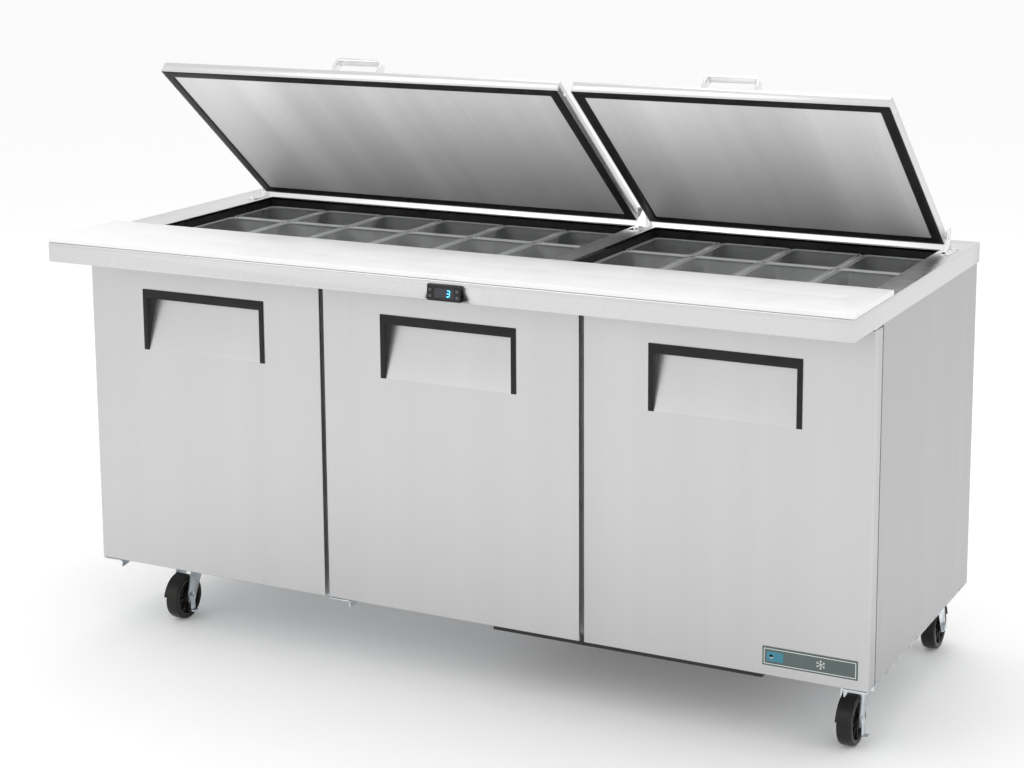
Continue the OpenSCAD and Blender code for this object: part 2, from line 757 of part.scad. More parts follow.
module evaporator() {
    y1 = cab_back - wall_t - liner_t - 2;
    x0 = coil_x - coil_w / 2;
    x1 = coil_x + coil_w / 2;
    color([0.75, 0.76, 0.77]) difference() {
        slab(x0, x1, coil_y, y1, coil_z0, ceiling_z - 2);
        slab(x0 + 3, x1 - 3, coil_y + 3, y1 - 30, coil_z0 - 1, ceiling_z - 5);
        translate([coil_x, coil_y - 1, evap_fan_z]) rotate([-90, 0, 0]) cylinder(h = 5, r = evap_fan_r + 4);
    }
    color([0.75, 0.76, 0.77]) {
        slab(coil_x - 6, coil_x + 6, coil_y + 42, y1 - 29, evap_fan_z - 6, evap_fan_z + 6);
        translate([coil_x, coil_y + 20, evap_fan_z]) rotate([-90, 0, 0]) cylinder(h = 23, r = 3);
    }
}

module fan(r, bore_r, depth) {
    // Hub with four pitched blades, turning about Y
    difference() {
        union() {
            rotate([-90, 0, 0]) cylinder(h = depth, r = 14);
            for (i = [0:3]) rotate([0, 90 * i, 0]) translate([11, depth / 2, 0]) rotate([28, 0, 0])
                translate([0, -1, -13]) cube([r - 13, 2, 26]);
        }
        translate([0, -1, 0]) rotate([-90, 0, 0]) cylinder(h = depth + 2, r = bore_r);
    }
}

module evaporator_fan() {
    color(black) translate([coil_x, coil_y + 22, evap_fan_z]) fan(evap_fan_r, 3 + pin_clear, 16);
}

module compressor() {
    z = tray_low + 3;
    color(black) translate([unit_x1 - 120, unit_y0 + 140, z]) {
        translate([0, 0, 22]) rotate_extrude()
            polygon([[0, 0], [70, 0], [85, 14], [85, 120], [72, 160], [40, 178], [0, 184]]);
        translate([-95, -60, 12]) cube([190, 120, 10 + eps]);
        for (x = [-82, 82]) for (y = [-48, 48]) translate([x, y, 0]) cylinder(h = 12 + eps, r = 9);
    }
}

module condenser() {
    // Finned coil against the rear grille, with a shroud and the fan motor in front of it
    y1 = cab_back - 8;
    x0 = fan_x - 125;
    x1 = fan_x + 125;
    z0 = tray_low + 3;
    z1 = unit_top - 20;
    color([0.55, 0.56, 0.57]) {
        slab(x0, x1, y1 - 34, y1, z0, z1);
        difference() {
            slab(x0, x1, y1 - 74, y1 - 34 + eps, z0, z1);
            translate([fan_x, y1 - 75, fan_z]) rotate([-90, 0, 0]) cylinder(h = 42, r = fan_r + 4);
        }
        slab(x0, x0 + 12, y1 - 128, y1 - 74 + eps, fan_z - 6, fan_z + 6);
        slab(x0, fan_x + 25, y1 - 140, y1 - 128 + eps, fan_z - 6, fan_z + 6);
        translate([fan_x, y1 - 128 - eps, fan_z]) rotate([-90, 0, 0]) cylinder(h = 40, r = 25);
        translate([fan_x, y1 - 90, fan_z]) rotate([-90, 0, 0]) cylinder(h = 30, r = 4);
    }
}

module condenser_fan() {
    color(steel) translate([fan_x, cab_back - 8 - 84, fan_z]) fan(fan_r, 4 + pin_clear, 20);
}

module unit_tray() {
    y0 = frame_front + tray_in;
    color(black) {
        slab(unit_x0 + 5, unit_x1 - 5, y0, cab_back - 3, tray_low, tray_low + 2.5);
        slab(unit_x0 + 5, unit_x1 - 5, y0, y0 + 2, tray_low, base_low - seam);
        for (x = [unit_x0 + 5, unit_x1 - 7]) slab(x, x + 2, y0, cab_back - 3, tray_low, base_low - seam);
    }
}

module rear_grille() {
    slots = 12;
    color(steel) difference() {
        slab(unit_x0 + 1, unit_x1 - 1, cab_back - 2, cab_back + grille_out, base_low, unit_top - 1);
        for (i = [0:slots - 1]) for (c = [0:2]) {
            x = unit_x0 + 40 + c * 185;
            z = base_h + 30 + i * 17;
            slab(x, x + 165, cab_back - 3, cab_back + 2, z, z + 8);
        }
    }
}

module power_inlet() {
    out = back_inset + control_out + button_travel + button_proud;
    color(black) translate([unit_x1 - 20, cab_back + grille_out + seam, base_h + 60]) rotate([-90, 0, 0])
        difference() {
            union() {
                cylinder(h = 3, r = 17);
                cylinder(h = out - grille_out - seam, r = 10);
            }
            translate([0, 0, 3]) cylinder(h = 30, r = 5);
        }
}

function button_pos(k) = [control_x + (k < 2 ? -30.5 : 30.5), control_z + (k % 2 == 0 ? 6 : -6.5)];

module control_cut() {
    slab(control_x - control_w / 2 + 2, control_x + control_w / 2 - 2, front - 1, front + 5,
         control_z - control_h / 2 + 1.5, control_z + control_h / 2 - 1.5);
}

module controller() {
    color(black) difference() {
        union() {
            slab(control_x - control_w / 2, control_x + control_w / 2, front - control_out, front - seam,
                 control_z - control_h / 2, control_z + control_h / 2);
            slab(control_x - control_w / 2 + 2 + seam, control_x + control_w / 2 - 2 - seam, front - seam - eps,
                 front + 55, control_z - control_h / 2 + 1.5 + seam, control_z + control_h / 2 - 1.5 - seam);
        }
        slab(control_x - 23, control_x + 23, front - control_out - 1, front - control_out + 1,
             control_z - 11, control_z + 11);
        for (k = [0:3]) translate([button_pos(k)[0], front - control_out - 1, button_pos(k)[1]])
            rotate([-90, 0, 0]) cylinder(h = button_hole + 1, r = button_r + 0.3);
    }
}

module button(k) {
    color([0.3, 0.31, 0.33])
        translate([button_pos(k)[0], front - control_out - button_travel - button_proud, button_pos(k)[1]])
            rotate([-90, 0, 0]) cylinder(h = button_hole - 0.4, r = button_r);
}

module button_set() { button(0); }
module button_power() { button(1); }
module button_up() { button(2); }
module button_down() { button(3); }

worktop();
well_walls();
well_floor();
pans();
cutting_board();
side_panel_left();
side_panel_right();
back_panel();
base_pan();
face_frame();
insulation();
liner();
shelves();
door_hinges();
lid_brackets();
name_plate();
door_skin_left();
door_core_left();
door_gasket_left();
door_handle_left();
door_skin_middle();
door_core_middle();
door_gasket_middle();
door_handle_middle();
door_skin_right();
door_core_right();
door_gasket_right();
door_handle_right();
lid_skin_left();
lid_panel_left();
lid_gasket_left();
lid_handle_left();
lid_skin_right();
lid_panel_right();
lid_gasket_right();
lid_handle_right();
caster_mounts();
caster_fork_front_left();
caster_fork_front_right();
caster_fork_rear_left();
caster_fork_rear_right();
caster_wheel_front_left();
caster_wheel_front_right();
caster_wheel_rear_left();
caster_wheel_rear_right();
brake_pedal_left();
brake_pedal_right();
evaporator();
evaporator_fan();
compressor();
condenser();
condenser_fan();
unit_tray();
rear_grille();
power_inlet();
controller();
button_set();
button_power();
button_up();
button_down();
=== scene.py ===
import json
import math
import bpy
import bmesh
from mathutils import Matrix, Vector


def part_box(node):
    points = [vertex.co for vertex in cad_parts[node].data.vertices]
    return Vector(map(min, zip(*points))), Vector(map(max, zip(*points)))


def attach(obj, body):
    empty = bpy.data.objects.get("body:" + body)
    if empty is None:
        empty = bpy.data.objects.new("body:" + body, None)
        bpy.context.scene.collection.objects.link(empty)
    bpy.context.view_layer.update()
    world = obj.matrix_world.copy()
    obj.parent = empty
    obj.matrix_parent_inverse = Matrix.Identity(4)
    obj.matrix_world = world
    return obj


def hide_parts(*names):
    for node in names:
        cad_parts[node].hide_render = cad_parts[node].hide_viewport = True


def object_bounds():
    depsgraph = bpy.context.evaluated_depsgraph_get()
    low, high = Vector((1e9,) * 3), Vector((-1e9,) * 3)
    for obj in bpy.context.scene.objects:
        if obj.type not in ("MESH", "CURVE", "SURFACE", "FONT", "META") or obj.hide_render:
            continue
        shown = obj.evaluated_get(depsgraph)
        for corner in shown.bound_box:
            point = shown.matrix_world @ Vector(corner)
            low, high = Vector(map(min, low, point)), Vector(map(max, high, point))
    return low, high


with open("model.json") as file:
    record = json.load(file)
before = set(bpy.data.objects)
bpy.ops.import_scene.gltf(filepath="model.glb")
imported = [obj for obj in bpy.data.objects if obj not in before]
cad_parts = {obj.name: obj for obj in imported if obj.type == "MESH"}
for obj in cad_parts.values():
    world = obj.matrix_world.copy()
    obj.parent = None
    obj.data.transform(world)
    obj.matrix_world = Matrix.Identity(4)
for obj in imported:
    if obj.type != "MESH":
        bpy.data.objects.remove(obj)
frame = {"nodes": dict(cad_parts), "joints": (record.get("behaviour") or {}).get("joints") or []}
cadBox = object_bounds()
joints = {j["name"]: j for j in frame["joints"]}
print("frame loaded")

camera = {"place": (2.06895, -4.01873, 1.7438), "yaw": 27.198, "pitch": -10.076, "roll": -0.3797, "lens": 74.166,
          "shiftX": 0.0, "shiftY": -0.15}


def makeCamera(c):
    data = bpy.data.cameras.new("camera")
    data.sensor_width = 36
    data.lens = c["lens"]
    data.shift_x = c["shiftX"]
    data.shift_y = c["shiftY"]
    data.clip_end = 300
    cam = bpy.data.objects.new("camera", data)
    bpy.context.scene.collection.objects.link(cam)
    turn = Matrix.Rotation(math.radians(c["yaw"]), 4, "Z") @ Matrix.Rotation(math.radians(90 + c["pitch"]), 4, "X")
    cam.matrix_world = Matrix.Translation(c["place"]) @ turn @ Matrix.Rotation(math.radians(c["roll"]), 4, "Z")
    bpy.context.scene.camera = cam


studio = {"sky": 0.92, "horizon": 1.0, "ground": 0.35,
          "lights": [("key", (-2.2, -4.2, 3.4), 3.0, 30), ("fill", (4.6, -1.6, 2.0), 2.0, 6),
                     ("top", (0.2, 0.2, 4.6), 3.4, 36), ("rim", (-1.5, 4.0, 2.6), 2.5, 14)]}


def makeStudio(s):
    world = bpy.data.worlds.new("studio")
    world.use_nodes = True
    bpy.context.scene.world = world
    tree = world.node_tree
    coord = tree.nodes.new("ShaderNodeTexCoord")
    split = tree.nodes.new("ShaderNodeSeparateXYZ")
    ramp = tree.nodes.new("ShaderNodeValToRGB")
    tree.links.new(coord.outputs["Generated"], split.inputs[0])
    rescale = tree.nodes.new("ShaderNodeMapRange")
    rescale.inputs["From Min"].default_value = -1.0
    tree.links.new(split.outputs["Z"], rescale.inputs["Value"])
    tree.links.new(rescale.outputs[0], ramp.inputs["Fac"])
    ramp.color_ramp.elements[0].position = 0.42
    ramp.color_ramp.elements[0].color = (s["ground"],) * 3 + (1,)
    ramp.color_ramp.elements[1].position = 0.8
    ramp.color_ramp.elements[1].color = (s["sky"],) * 3 + (1,)
    middle = ramp.color_ramp.elements.new(0.52)
    middle.color = (s["horizon"],) * 3 + (1,)
    tree.links.new(ramp.outputs["Color"], tree.nodes["Background"].inputs["Color"])
    for name, place, size, power in s["lights"]:
        data = bpy.data.lights.new(name, "AREA")
        data.energy = power
        data.size = size
        lamp = bpy.data.objects.new(name, data)
        bpy.context.scene.collection.objects.link(lamp)
        aim = (Vector((0, 0, 0.6)) - Vector(place)).to_track_quat("-Z", "Y")
        lamp.matrix_world = Matrix.Translation(place) @ aim.to_matrix().to_4x4()


makeCamera(camera)
makeStudio(studio)
bpy.context.scene.view_settings.view_transform = "Standard"


def newGroup(name, inputs, outputs):
    group = bpy.data.node_groups.new(name, "ShaderNodeTree")
    for label, kind, value in inputs:
        socket = group.interface.new_socket(label, in_out="INPUT", socket_type=kind)
        if value is not None:
            socket.default_value = value
    for label, kind in outputs:
        group.interface.new_socket(label, in_out="OUTPUT", socket_type=kind)
    return group, group.nodes.new("NodeGroupInput"), group.nodes.new("NodeGroupOutput")


def makeBrushGroup():
    # Long fine scratches along the grain, with slower cloudy bands under them
    group, into, out = newGroup("brushGrain",
                                [("Vector", "NodeSocketVector", None), ("Bands", "NodeSocketFloat", 0.5)],
                                [("Scratch", "NodeSocketFloat"), ("Cloud", "NodeSocketFloat")])
    fine = group.nodes.new("ShaderNodeTexNoise")
    fine.inputs["Scale"].default_value = 1.0
    fine.inputs["Detail"].default_value = 3.0
    cloud = group.nodes.new("ShaderNodeTexNoise")
    cloud.inputs["Scale"].default_value = 0.02
    cloud.inputs["Detail"].default_value = 4.0
    blend = group.nodes.new("ShaderNodeMix")
    blend.data_type = "FLOAT"
    group.links.new(into.outputs["Vector"], fine.inputs["Vector"])
    group.links.new(into.outputs["Vector"], cloud.inputs["Vector"])
    group.links.new(into.outputs["Bands"], blend.inputs[0])
    group.links.new(fine.outputs["Fac"], blend.inputs[2])
    group.links.new(cloud.outputs["Fac"], blend.inputs[3])
    group.links.new(fine.outputs["Fac"], out.inputs["Scratch"])
    group.links.new(blend.outputs[0], out.inputs["Cloud"])
    return group


def makeHandledGroup():
    # Faint smears and dust left by use, in soft patches
    group, into, out = newGroup("handledPatches",
                                [("Vector", "NodeSocketVector", None), ("Size", "NodeSocketFloat", 6.0),
                                 ("Amount", "NodeSocketFloat", 0.5)],
                                [("Patch", "NodeSocketFloat")])
    noise = group.nodes.new("ShaderNodeTexNoise")
    noise.inputs["Detail"].default_value = 6.0
    noise.inputs["Roughness"].default_value = 0.6
    spread = group.nodes.new("ShaderNodeMapRange")
    spread.inputs["From Min"].default_value = 0.4
    spread.inputs["From Max"].default_value = 0.7
    times = group.nodes.new("ShaderNodeMath")
    times.operation = "MULTIPLY"
    group.links.new(into.outputs["Vector"], noise.inputs["Vector"])
    group.links.new(into.outputs["Size"], noise.inputs["Scale"])
    group.links.new(noise.outputs["Fac"], spread.inputs["Value"])
    group.links.new(spread.outputs[0], times.inputs[0])
    group.links.new(into.outputs["Amount"], times.inputs[1])
    group.links.new(times.outputs[0], out.inputs["Patch"])
    return group


def makeGrainGroup():
    # Fine moulded grain on plastics and rubber
    group, into, out = newGroup("mouldGrain",
                                [("Vector", "NodeSocketVector", None), ("Size", "NodeSocketFloat", 900.0)],
                                [("Height", "NodeSocketFloat"), ("Mottle", "NodeSocketFloat")])
    cells = group.nodes.new("ShaderNodeTexVoronoi")
    cells.feature = "SMOOTH_F1"
    mottle = group.nodes.new("ShaderNodeTexNoise")
    mottle.inputs["Scale"].default_value = 14.0
    mottle.inputs["Detail"].default_value = 5.0
    group.links.new(into.outputs["Vector"], cells.inputs["Vector"])
    group.links.new(into.outputs["Size"], cells.inputs["Scale"])
    group.links.new(into.outputs["Vector"], mottle.inputs["Vector"])
    group.links.new(cells.outputs["Distance"], out.inputs["Height"])
    group.links.new(mottle.outputs["Fac"], out.inputs["Mottle"])
    return group


brushGroup = makeBrushGroup()
handledGroup = makeHandledGroup()
grainGroup = makeGrainGroup()


def startMaterial(name, color, roughness, metallic):
    mat = bpy.data.materials.new(name)
    mat.use_nodes = True
    shader = mat.node_tree.nodes["Principled BSDF"]
    shader.inputs["Base Color"].default_value = (*color, 1)
    shader.inputs["Roughness"].default_value = roughness
    shader.inputs["Metallic"].default_value = metallic
    return mat, mat.node_tree, shader


def placeGroup(tree, group, scale=(1, 1, 1)):
    coord = tree.nodes.new("ShaderNodeTexCoord")
    mapping = tree.nodes.new("ShaderNodeMapping")
    mapping.inputs["Scale"].default_value = scale
    node = tree.nodes.new("ShaderNodeGroup")
    node.node_tree = group
    tree.links.new(coord.outputs["Object"], mapping.inputs["Vector"])
    tree.links.new(mapping.outputs["Vector"], node.inputs["Vector"])
    return node


def ramp(tree, value, low, high, target):
    # Colour between low and high as value goes from 0.3 to 0.7
    node = tree.nodes.new("ShaderNodeValToRGB")
    node.color_ramp.elements[0].position = 0.3
    node.color_ramp.elements[0].color = (*low, 1)
    node.color_ramp.elements[1].position = 0.7
    node.color_ramp.elements[1].color = (*high, 1)
    tree.links.new(value, node.inputs["Fac"])
    tree.links.new(node.outputs["Color"], target)


def between(tree, value, low, high, target):
    node = tree.nodes.new("ShaderNodeMapRange")
    node.inputs["From Min"].default_value = 0.3
    node.inputs["From Max"].default_value = 0.7
    node.inputs["To Min"].default_value = low
    node.inputs["To Max"].default_value = high
    tree.links.new(value, node.inputs["Value"])
    tree.links.new(node.outputs[0], target)


def bump(tree, value, strength, distance, shader):
    node = tree.nodes.new("ShaderNodeBump")
    node.inputs["Strength"].default_value = strength
    node.inputs["Distance"].default_value = distance
    tree.links.new(value, node.inputs["Height"])
    tree.links.new(node.outputs["Normal"], shader.inputs["Normal"])


def brushedMaterial(name, grain, tone, spread, rough, bands=0.5):
    # grain is how many scratches there are per metre along each axis
    mat, tree, shader = startMaterial(name, (tone,) * 3, rough, 1.0)
    group = placeGroup(tree, brushGroup, grain)
    group.inputs["Bands"].default_value = bands
    ramp(tree, group.outputs["Cloud"], (tone - spread,) * 3, (tone + spread,) * 3, shader.inputs["Base Color"])
    between(tree, group.outputs["Scratch"], rough - 0.05, rough + 0.07, shader.inputs["Roughness"])
    bump(tree, group.outputs["Scratch"], 0.12, 0.0002, shader)
    return mat


def plasticMaterial(name, color, rough, size=900.0, relief=0.12, mottle=0.15, coat=0.0):
    mat, tree, shader = startMaterial(name, color, rough, 0.0)
    shader.inputs["Specular IOR Level"].default_value = 0.5 if max(color) > 0.3 else 0.22
    group = placeGroup(tree, grainGroup)
    group.inputs["Size"].default_value = size
    low = [c * (1 - mottle) for c in color]
    high = [min(1.0, c * (1 + mottle)) for c in color]
    ramp(tree, group.outputs["Mottle"], low, high, shader.inputs["Base Color"])
    between(tree, group.outputs["Mottle"], rough - 0.05, rough + 0.06, shader.inputs["Roughness"])
    bump(tree, group.outputs["Height"], relief, 0.0003, shader)
    shader.inputs["Coat Weight"].default_value = coat
    return mat


def metalMaterial(name, color, rough, patch=8.0, shade=0.12):
    mat, tree, shader = startMaterial(name, color, rough, 1.0)
    group = placeGroup(tree, handledGroup)
    group.inputs["Size"].default_value = patch
    group.inputs["Amount"].default_value = 1.0
    ramp(tree, group.outputs["Patch"], color, [c * (1 - shade) for c in color], shader.inputs["Base Color"])
    between(tree, group.outputs["Patch"], rough, rough + 0.12, shader.inputs["Roughness"])
    return mat


def clearMaterial(name, color, rough, rimZ, wallAlpha, thick):
    # Clear walls, with the rims at rimZ made more opaque and milky white as a painted highlight
    mat, tree, shader = startMaterial(name, color, rough, 0.0)
    shader.inputs["Specular IOR Level"].default_value = 0.9
    group = placeGroup(tree, handledGroup)
    group.inputs["Size"].default_value = 18.0
    group.inputs["Amount"].default_value = 1.0
    between(tree, group.outputs["Patch"], rough, rough + 0.06, shader.inputs["Roughness"])
    coord = tree.nodes.new("ShaderNodeTexCoord")
    split = tree.nodes.new("ShaderNodeSeparateXYZ")
    # Opacity climbs from the walls' value to the rims' value just under rimZ: the painted rim highlight
    rimHighlight = tree.nodes.new("ShaderNodeMapRange")
    rimHighlight.inputs["From Min"].default_value = rimZ - 0.0009
    rimHighlight.inputs["From Max"].default_value = rimZ - 0.0001
    rimHighlight.inputs["To Min"].default_value = wallAlpha
    rimHighlight.inputs["To Max"].default_value = thick
    tree.links.new(coord.outputs["Object"], split.inputs[0])
    tree.links.new(split.outputs["Z"], rimHighlight.inputs["Value"])
    tree.links.new(rimHighlight.outputs[0], shader.inputs["Alpha"])
    return mat


def glowMaterial(name, color, strength, uneven=0.15, size=900):
    # A lit segment, slightly uneven across its face
    mat, tree, shader = startMaterial(name, [c * 0.2 for c in color], 0.4, 0.0)
    shader.inputs["Emission Strength"].default_value = strength * (1 + uneven)
    coord = tree.nodes.new("ShaderNodeTexCoord")
    noise = tree.nodes.new("ShaderNodeTexNoise")
    noise.inputs["Scale"].default_value = size
    spread = tree.nodes.new("ShaderNodeValToRGB")
    dimmest = (1 - uneven) / (1 + uneven)
    spread.color_ramp.elements[0].color = (*[c * dimmest for c in color], 1)
    spread.color_ramp.elements[1].color = (*color, 1)
    tree.links.new(coord.outputs["Object"], noise.inputs["Vector"])
    tree.links.new(noise.outputs[0], spread.inputs["Fac"])
    tree.links.new(spread.outputs["Color"], shader.inputs["Emission Color"])
    return mat


upright = (700, 700, 9)  # scratches run up and down
level = (9, 700, 700)  # scratches run along the length
steelDoor = brushedMaterial("steelDoor", upright, 0.59, 0.02, 0.34)
steelTop = brushedMaterial("steelTop", level, 0.66, 0.015, 0.28)
steelSide = brushedMaterial("steelSide", upright, 0.45, 0.02, 0.36)
lidStreaks = (200, 3, 3)  # broad soft streaks that run front to back
steelLid = brushedMaterial("steelLid", lidStreaks, 0.76, 0.16, 0.52, 0.9)
steelLid.node_tree.nodes["Principled BSDF"].inputs["Metallic"].default_value = 0.18
steelLidSkin = brushedMaterial("steelLidSkin", level, 0.70, 0.03, 0.28)
steelFloor = brushedMaterial("steelFloor", level, 0.88, 0.04, 0.45)
steelFloor.node_tree.nodes["Principled BSDF"].inputs["Metallic"].default_value = 0.3
steelFrame = brushedMaterial("steelFrame", upright, 0.66, 0.04, 0.34)
polished = metalMaterial("polished", (0.86, 0.86, 0.87), 0.12)
zincPlate = metalMaterial("zincPlate", (0.70, 0.75, 0.78), 0.28, 30.0, 0.25)
galvanised = metalMaterial("galvanised", (0.55, 0.57, 0.59), 0.42, 40.0, 0.3)
coilMetal = metalMaterial("coilMetal", (0.66, 0.67, 0.68), 0.38, 20.0, 0.2)
linerCoat = plasticMaterial("linerCoat", (0.80, 0.81, 0.82), 0.38, 300.0, 0.05, 0.03)
foamEdge = plasticMaterial("foamEdge", (0.80, 0.66, 0.38), 0.8, 400.0, 0.4, 0.12)
boardWhite = plasticMaterial("boardWhite", (0.86, 0.865, 0.86), 0.42, 1400.0, 0.08, 0.02)
gasketBlack = plasticMaterial("gasketBlack", (0.012, 0.012, 0.013), 0.42, 1200.0, 0.1, 0.3)
trimBlack = plasticMaterial("trimBlack", (0.016, 0.016, 0.018), 0.38, 1600.0, 0.25, 0.3)
wellBlack = plasticMaterial("wellBlack", (0.018, 0.018, 0.02), 0.3, 1000.0, 0.15, 0.3)
wheelBlack = plasticMaterial("wheelBlack", (0.018, 0.017, 0.016), 0.34, 700.0, 0.1, 0.35)
caseBlack = plasticMaterial("caseBlack", (0.02, 0.02, 0.022), 0.25, 1800.0, 0.1, 0.25)
shelfCoat = plasticMaterial("shelfCoat", (0.80, 0.81, 0.79), 0.34, 500.0, 0.06, 0.05, 0.3)
buttonGrey = plasticMaterial("buttonGrey", (0.10, 0.105, 0.115), 0.5, 1500.0, 0.1, 0.2)
paintBlack = plasticMaterial("paintBlack", (0.02, 0.02, 0.021), 0.32, 260.0, 0.2, 0.3, 0.4)
plateGreen = plasticMaterial("plateGreen", (0.085, 0.115, 0.11), 0.3, 800.0, 0.05, 0.1, 0.5)
platePale = plasticMaterial("platePale", (0.72, 0.74, 0.74), 0.35, 800.0, 0.05, 0.05, 0.3)
plateTeal = plasticMaterial("plateTeal", (0.04, 0.22, 0.30), 0.3, 800.0, 0.05, 0.1, 0.5)
# The last two numbers are the walls' opacity and the rims' higher opacity, which paints the rims' highlight
clearPan = clearMaterial("clearPan", (0.92, 0.94, 0.95), 0.05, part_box("pans")[1].z, 0.09, 0.85)
smokedGlass = plasticMaterial("smokedGlass", (0.004, 0.004, 0.005), 0.08, 800.0, 0.0, 0.2, 1.0)
digitOn = glowMaterial("digitOn", (0.05, 0.42, 1.0), 6.0)
digitDim = glowMaterial("digitDim", (0.05, 0.07, 0.11), 0.7)
floorPale = plasticMaterial("floorPale", (0.92, 0.92, 0.92), 0.8, 60.0, 0.0, 0.01)
floorPale.node_tree.nodes["Principled BSDF"].inputs["Emission Color"].default_value = (1, 1, 1, 1)
floorPale.node_tree.nodes["Principled BSDF"].inputs["Emission Strength"].default_value = 0.1
print("materials made")


def finishPiece(bm, name, body, material, replaced=(), smooth=True):
    bmesh.ops.recalc_face_normals(bm, faces=bm.faces)
    mesh = bpy.data.meshes.new(name)
    bm.to_mesh(mesh)
    bm.free()
    piece = bpy.data.objects.new(name, mesh)
    bpy.context.scene.collection.objects.link(piece)
    mesh.materials.append(material)
    if smooth:
        mesh.shade_smooth()
        mesh.set_sharp_from_angle(angle=math.radians(35))
    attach(piece, body)
    if replaced:
        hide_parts(*replaced)
    return piece


def addBox(bm, low, high):
    made = bmesh.ops.create_cube(bm, size=1.0)
    size = Vector(high) - Vector(low)
    bmesh.ops.scale(bm, vec=size, verts=made["verts"])
    bmesh.ops.translate(bm, vec=(Vector(high) + Vector(low)) / 2, verts=made["verts"])
    return made["verts"]


def addRoundBox(bm, low, high, radius, segments=2):
    verts = addBox(bm, low, high)
    edges = list({e for v in verts for e in v.link_edges})
    bmesh.ops.bevel(bm, geom=edges, offset=radius, segments=segments, profile=0.5, affect="EDGES",
                    material=-1, clamp_overlap=True)


def addCylinder(bm, start, end, radius, sides=24, radius2=None):
    start, end = Vector(start), Vector(end)
    along = end - start
    turn = along.to_track_quat("Z", "Y").to_matrix().to_4x4()
    place = Matrix.Translation((start + end) / 2) @ turn
    made = bmesh.ops.create_cone(bm, cap_ends=True, segments=sides, radius1=radius,
                                 radius2=radius if radius2 is None else radius2, depth=along.length, matrix=place)
    return made["verts"]


def sharpEdges(bm, edges=None, angle=30):
    limit = math.radians(angle)
    return [e for e in (edges or bm.edges) if len(e.link_faces) == 2 and e.calc_face_angle(0) > limit]


def copyNode(node):
    # A merged copy of a CAD node's mesh, with its flat faces joined up again
    bm = bmesh.new()
    bm.from_mesh(frame["nodes"][node].data)
    bmesh.ops.remove_doubles(bm, verts=bm.verts, dist=1e-6)
    bmesh.ops.dissolve_limit(bm, angle_limit=math.radians(0.5), verts=bm.verts, edges=bm.edges)
    return bm


def softened(node, body, material, width, segments=2, angle=30, name=None, longer=0.0):
    # The CAD shape with its sharp edges broken
    bm = copyNode(node)
    edges = [e for e in sharpEdges(bm, angle=angle) if e.calc_length() > longer]
    bmesh.ops.bevel(bm, geom=edges, offset=width, segments=segments, profile=0.5,
                    affect="EDGES", material=-1, clamp_overlap=True)
    bmesh.ops.remove_doubles(bm, verts=bm.verts, dist=1e-6)
    return finishPiece(bm, name or node + "Soft", body, material, (node,))


def addScrew(bm, at, out, radius=0.004, height=0.0022):
    # A pan head with a cross recess, standing out along out
    at, out = Vector(at), Vector(out).normalized()
    verts = addCylinder(bm, at - out * 0.0005, at + out * height, radius, 20, radius * 0.72)
    side = out.orthogonal().normalized()
    other = out.cross(side)
    for a, b in ((side, other), (other, side)):
        slotVerts = bmesh.ops.create_cube(bm, size=1.0)["verts"]
        basis = Matrix((a * radius * 1.0, b * radius * 0.16, out * 0.0004)).transposed().to_4x4()
        basis.translation = at + out * (height + 0.00005)
        bmesh.ops.transform(bm, matrix=basis, verts=slotVerts)
    return verts


def roundRing(bm, x0, x1, y0, y1, z, radius, steps=5):
    # One closed loop of vertices round a rectangle with rounded corners
    corners = ((x1 - radius, y1 - radius, 0), (x0 + radius, y1 - radius, 90), (x0 + radius, y0 + radius, 180),
               (x1 - radius, y0 + radius, 270))
    ring = []
    for cx, cy, start in corners:
        for k in range(steps + 1):
            a = math.radians(start + 90 * k / steps)
            ring.append(bm.verts.new((cx + radius * math.cos(a), cy + radius * math.sin(a), z)))
    return ring


def loft(bm, rings):
    for a, b in zip(rings, rings[1:]):
        for k in range(len(a)):
            n = (k + 1) % len(a)
            bm.faces.new((a[k], a[n], b[n], b[k]))


def cutOut(piece, tools):
    # Takes the closed shapes in tools out of a piece, for good
    mesh = bpy.data.meshes.new("cutter")
    tools.to_mesh(mesh)
    tools.free()
    cutter = bpy.data.objects.new("cutter", mesh)
    bpy.context.scene.collection.objects.link(cutter)
    cut = piece.modifiers.new("cut", "BOOLEAN")
    cut.object = cutter
    cut.operation = "DIFFERENCE"
    cut.solver = "EXACT"
    done = bpy.data.meshes.new_from_object(piece.evaluated_get(bpy.context.evaluated_depsgraph_get()))
    piece.modifiers.clear()
    piece.data = done
    bpy.data.objects.remove(cutter)


def lidTurned(bm):
    # From a closed lid to the rest pose, about the lids' pins
    hinge = joints["lid_left_hinge"]
    pin = Vector(hinge["pos_m"])
    angle = math.radians(hinge["range_deg"][0])
    turn = Matrix.Translation(pin) @ Matrix.Rotation(angle, 4, "X") @ Matrix.Translation(-pin)
    bmesh.ops.transform(bm, matrix=turn, verts=bm.verts)


worktop = {"edge": 0.0025, "corner": 0.004, "sheet": 0.0015, "hem": 0.012, "wellLip": 0.006,
           "windowX": 0.002, "windowZ": 0.0015, "near": 0.006}


def splitAt(bm, axis, value):
    normal = Vector((axis == 0, axis == 1, axis == 2))
    bmesh.ops.bisect_plane(bm, geom=bm.verts[:] + bm.edges[:] + bm.faces[:], dist=1e-7,
                           plane_co=normal * value, plane_no=normal)


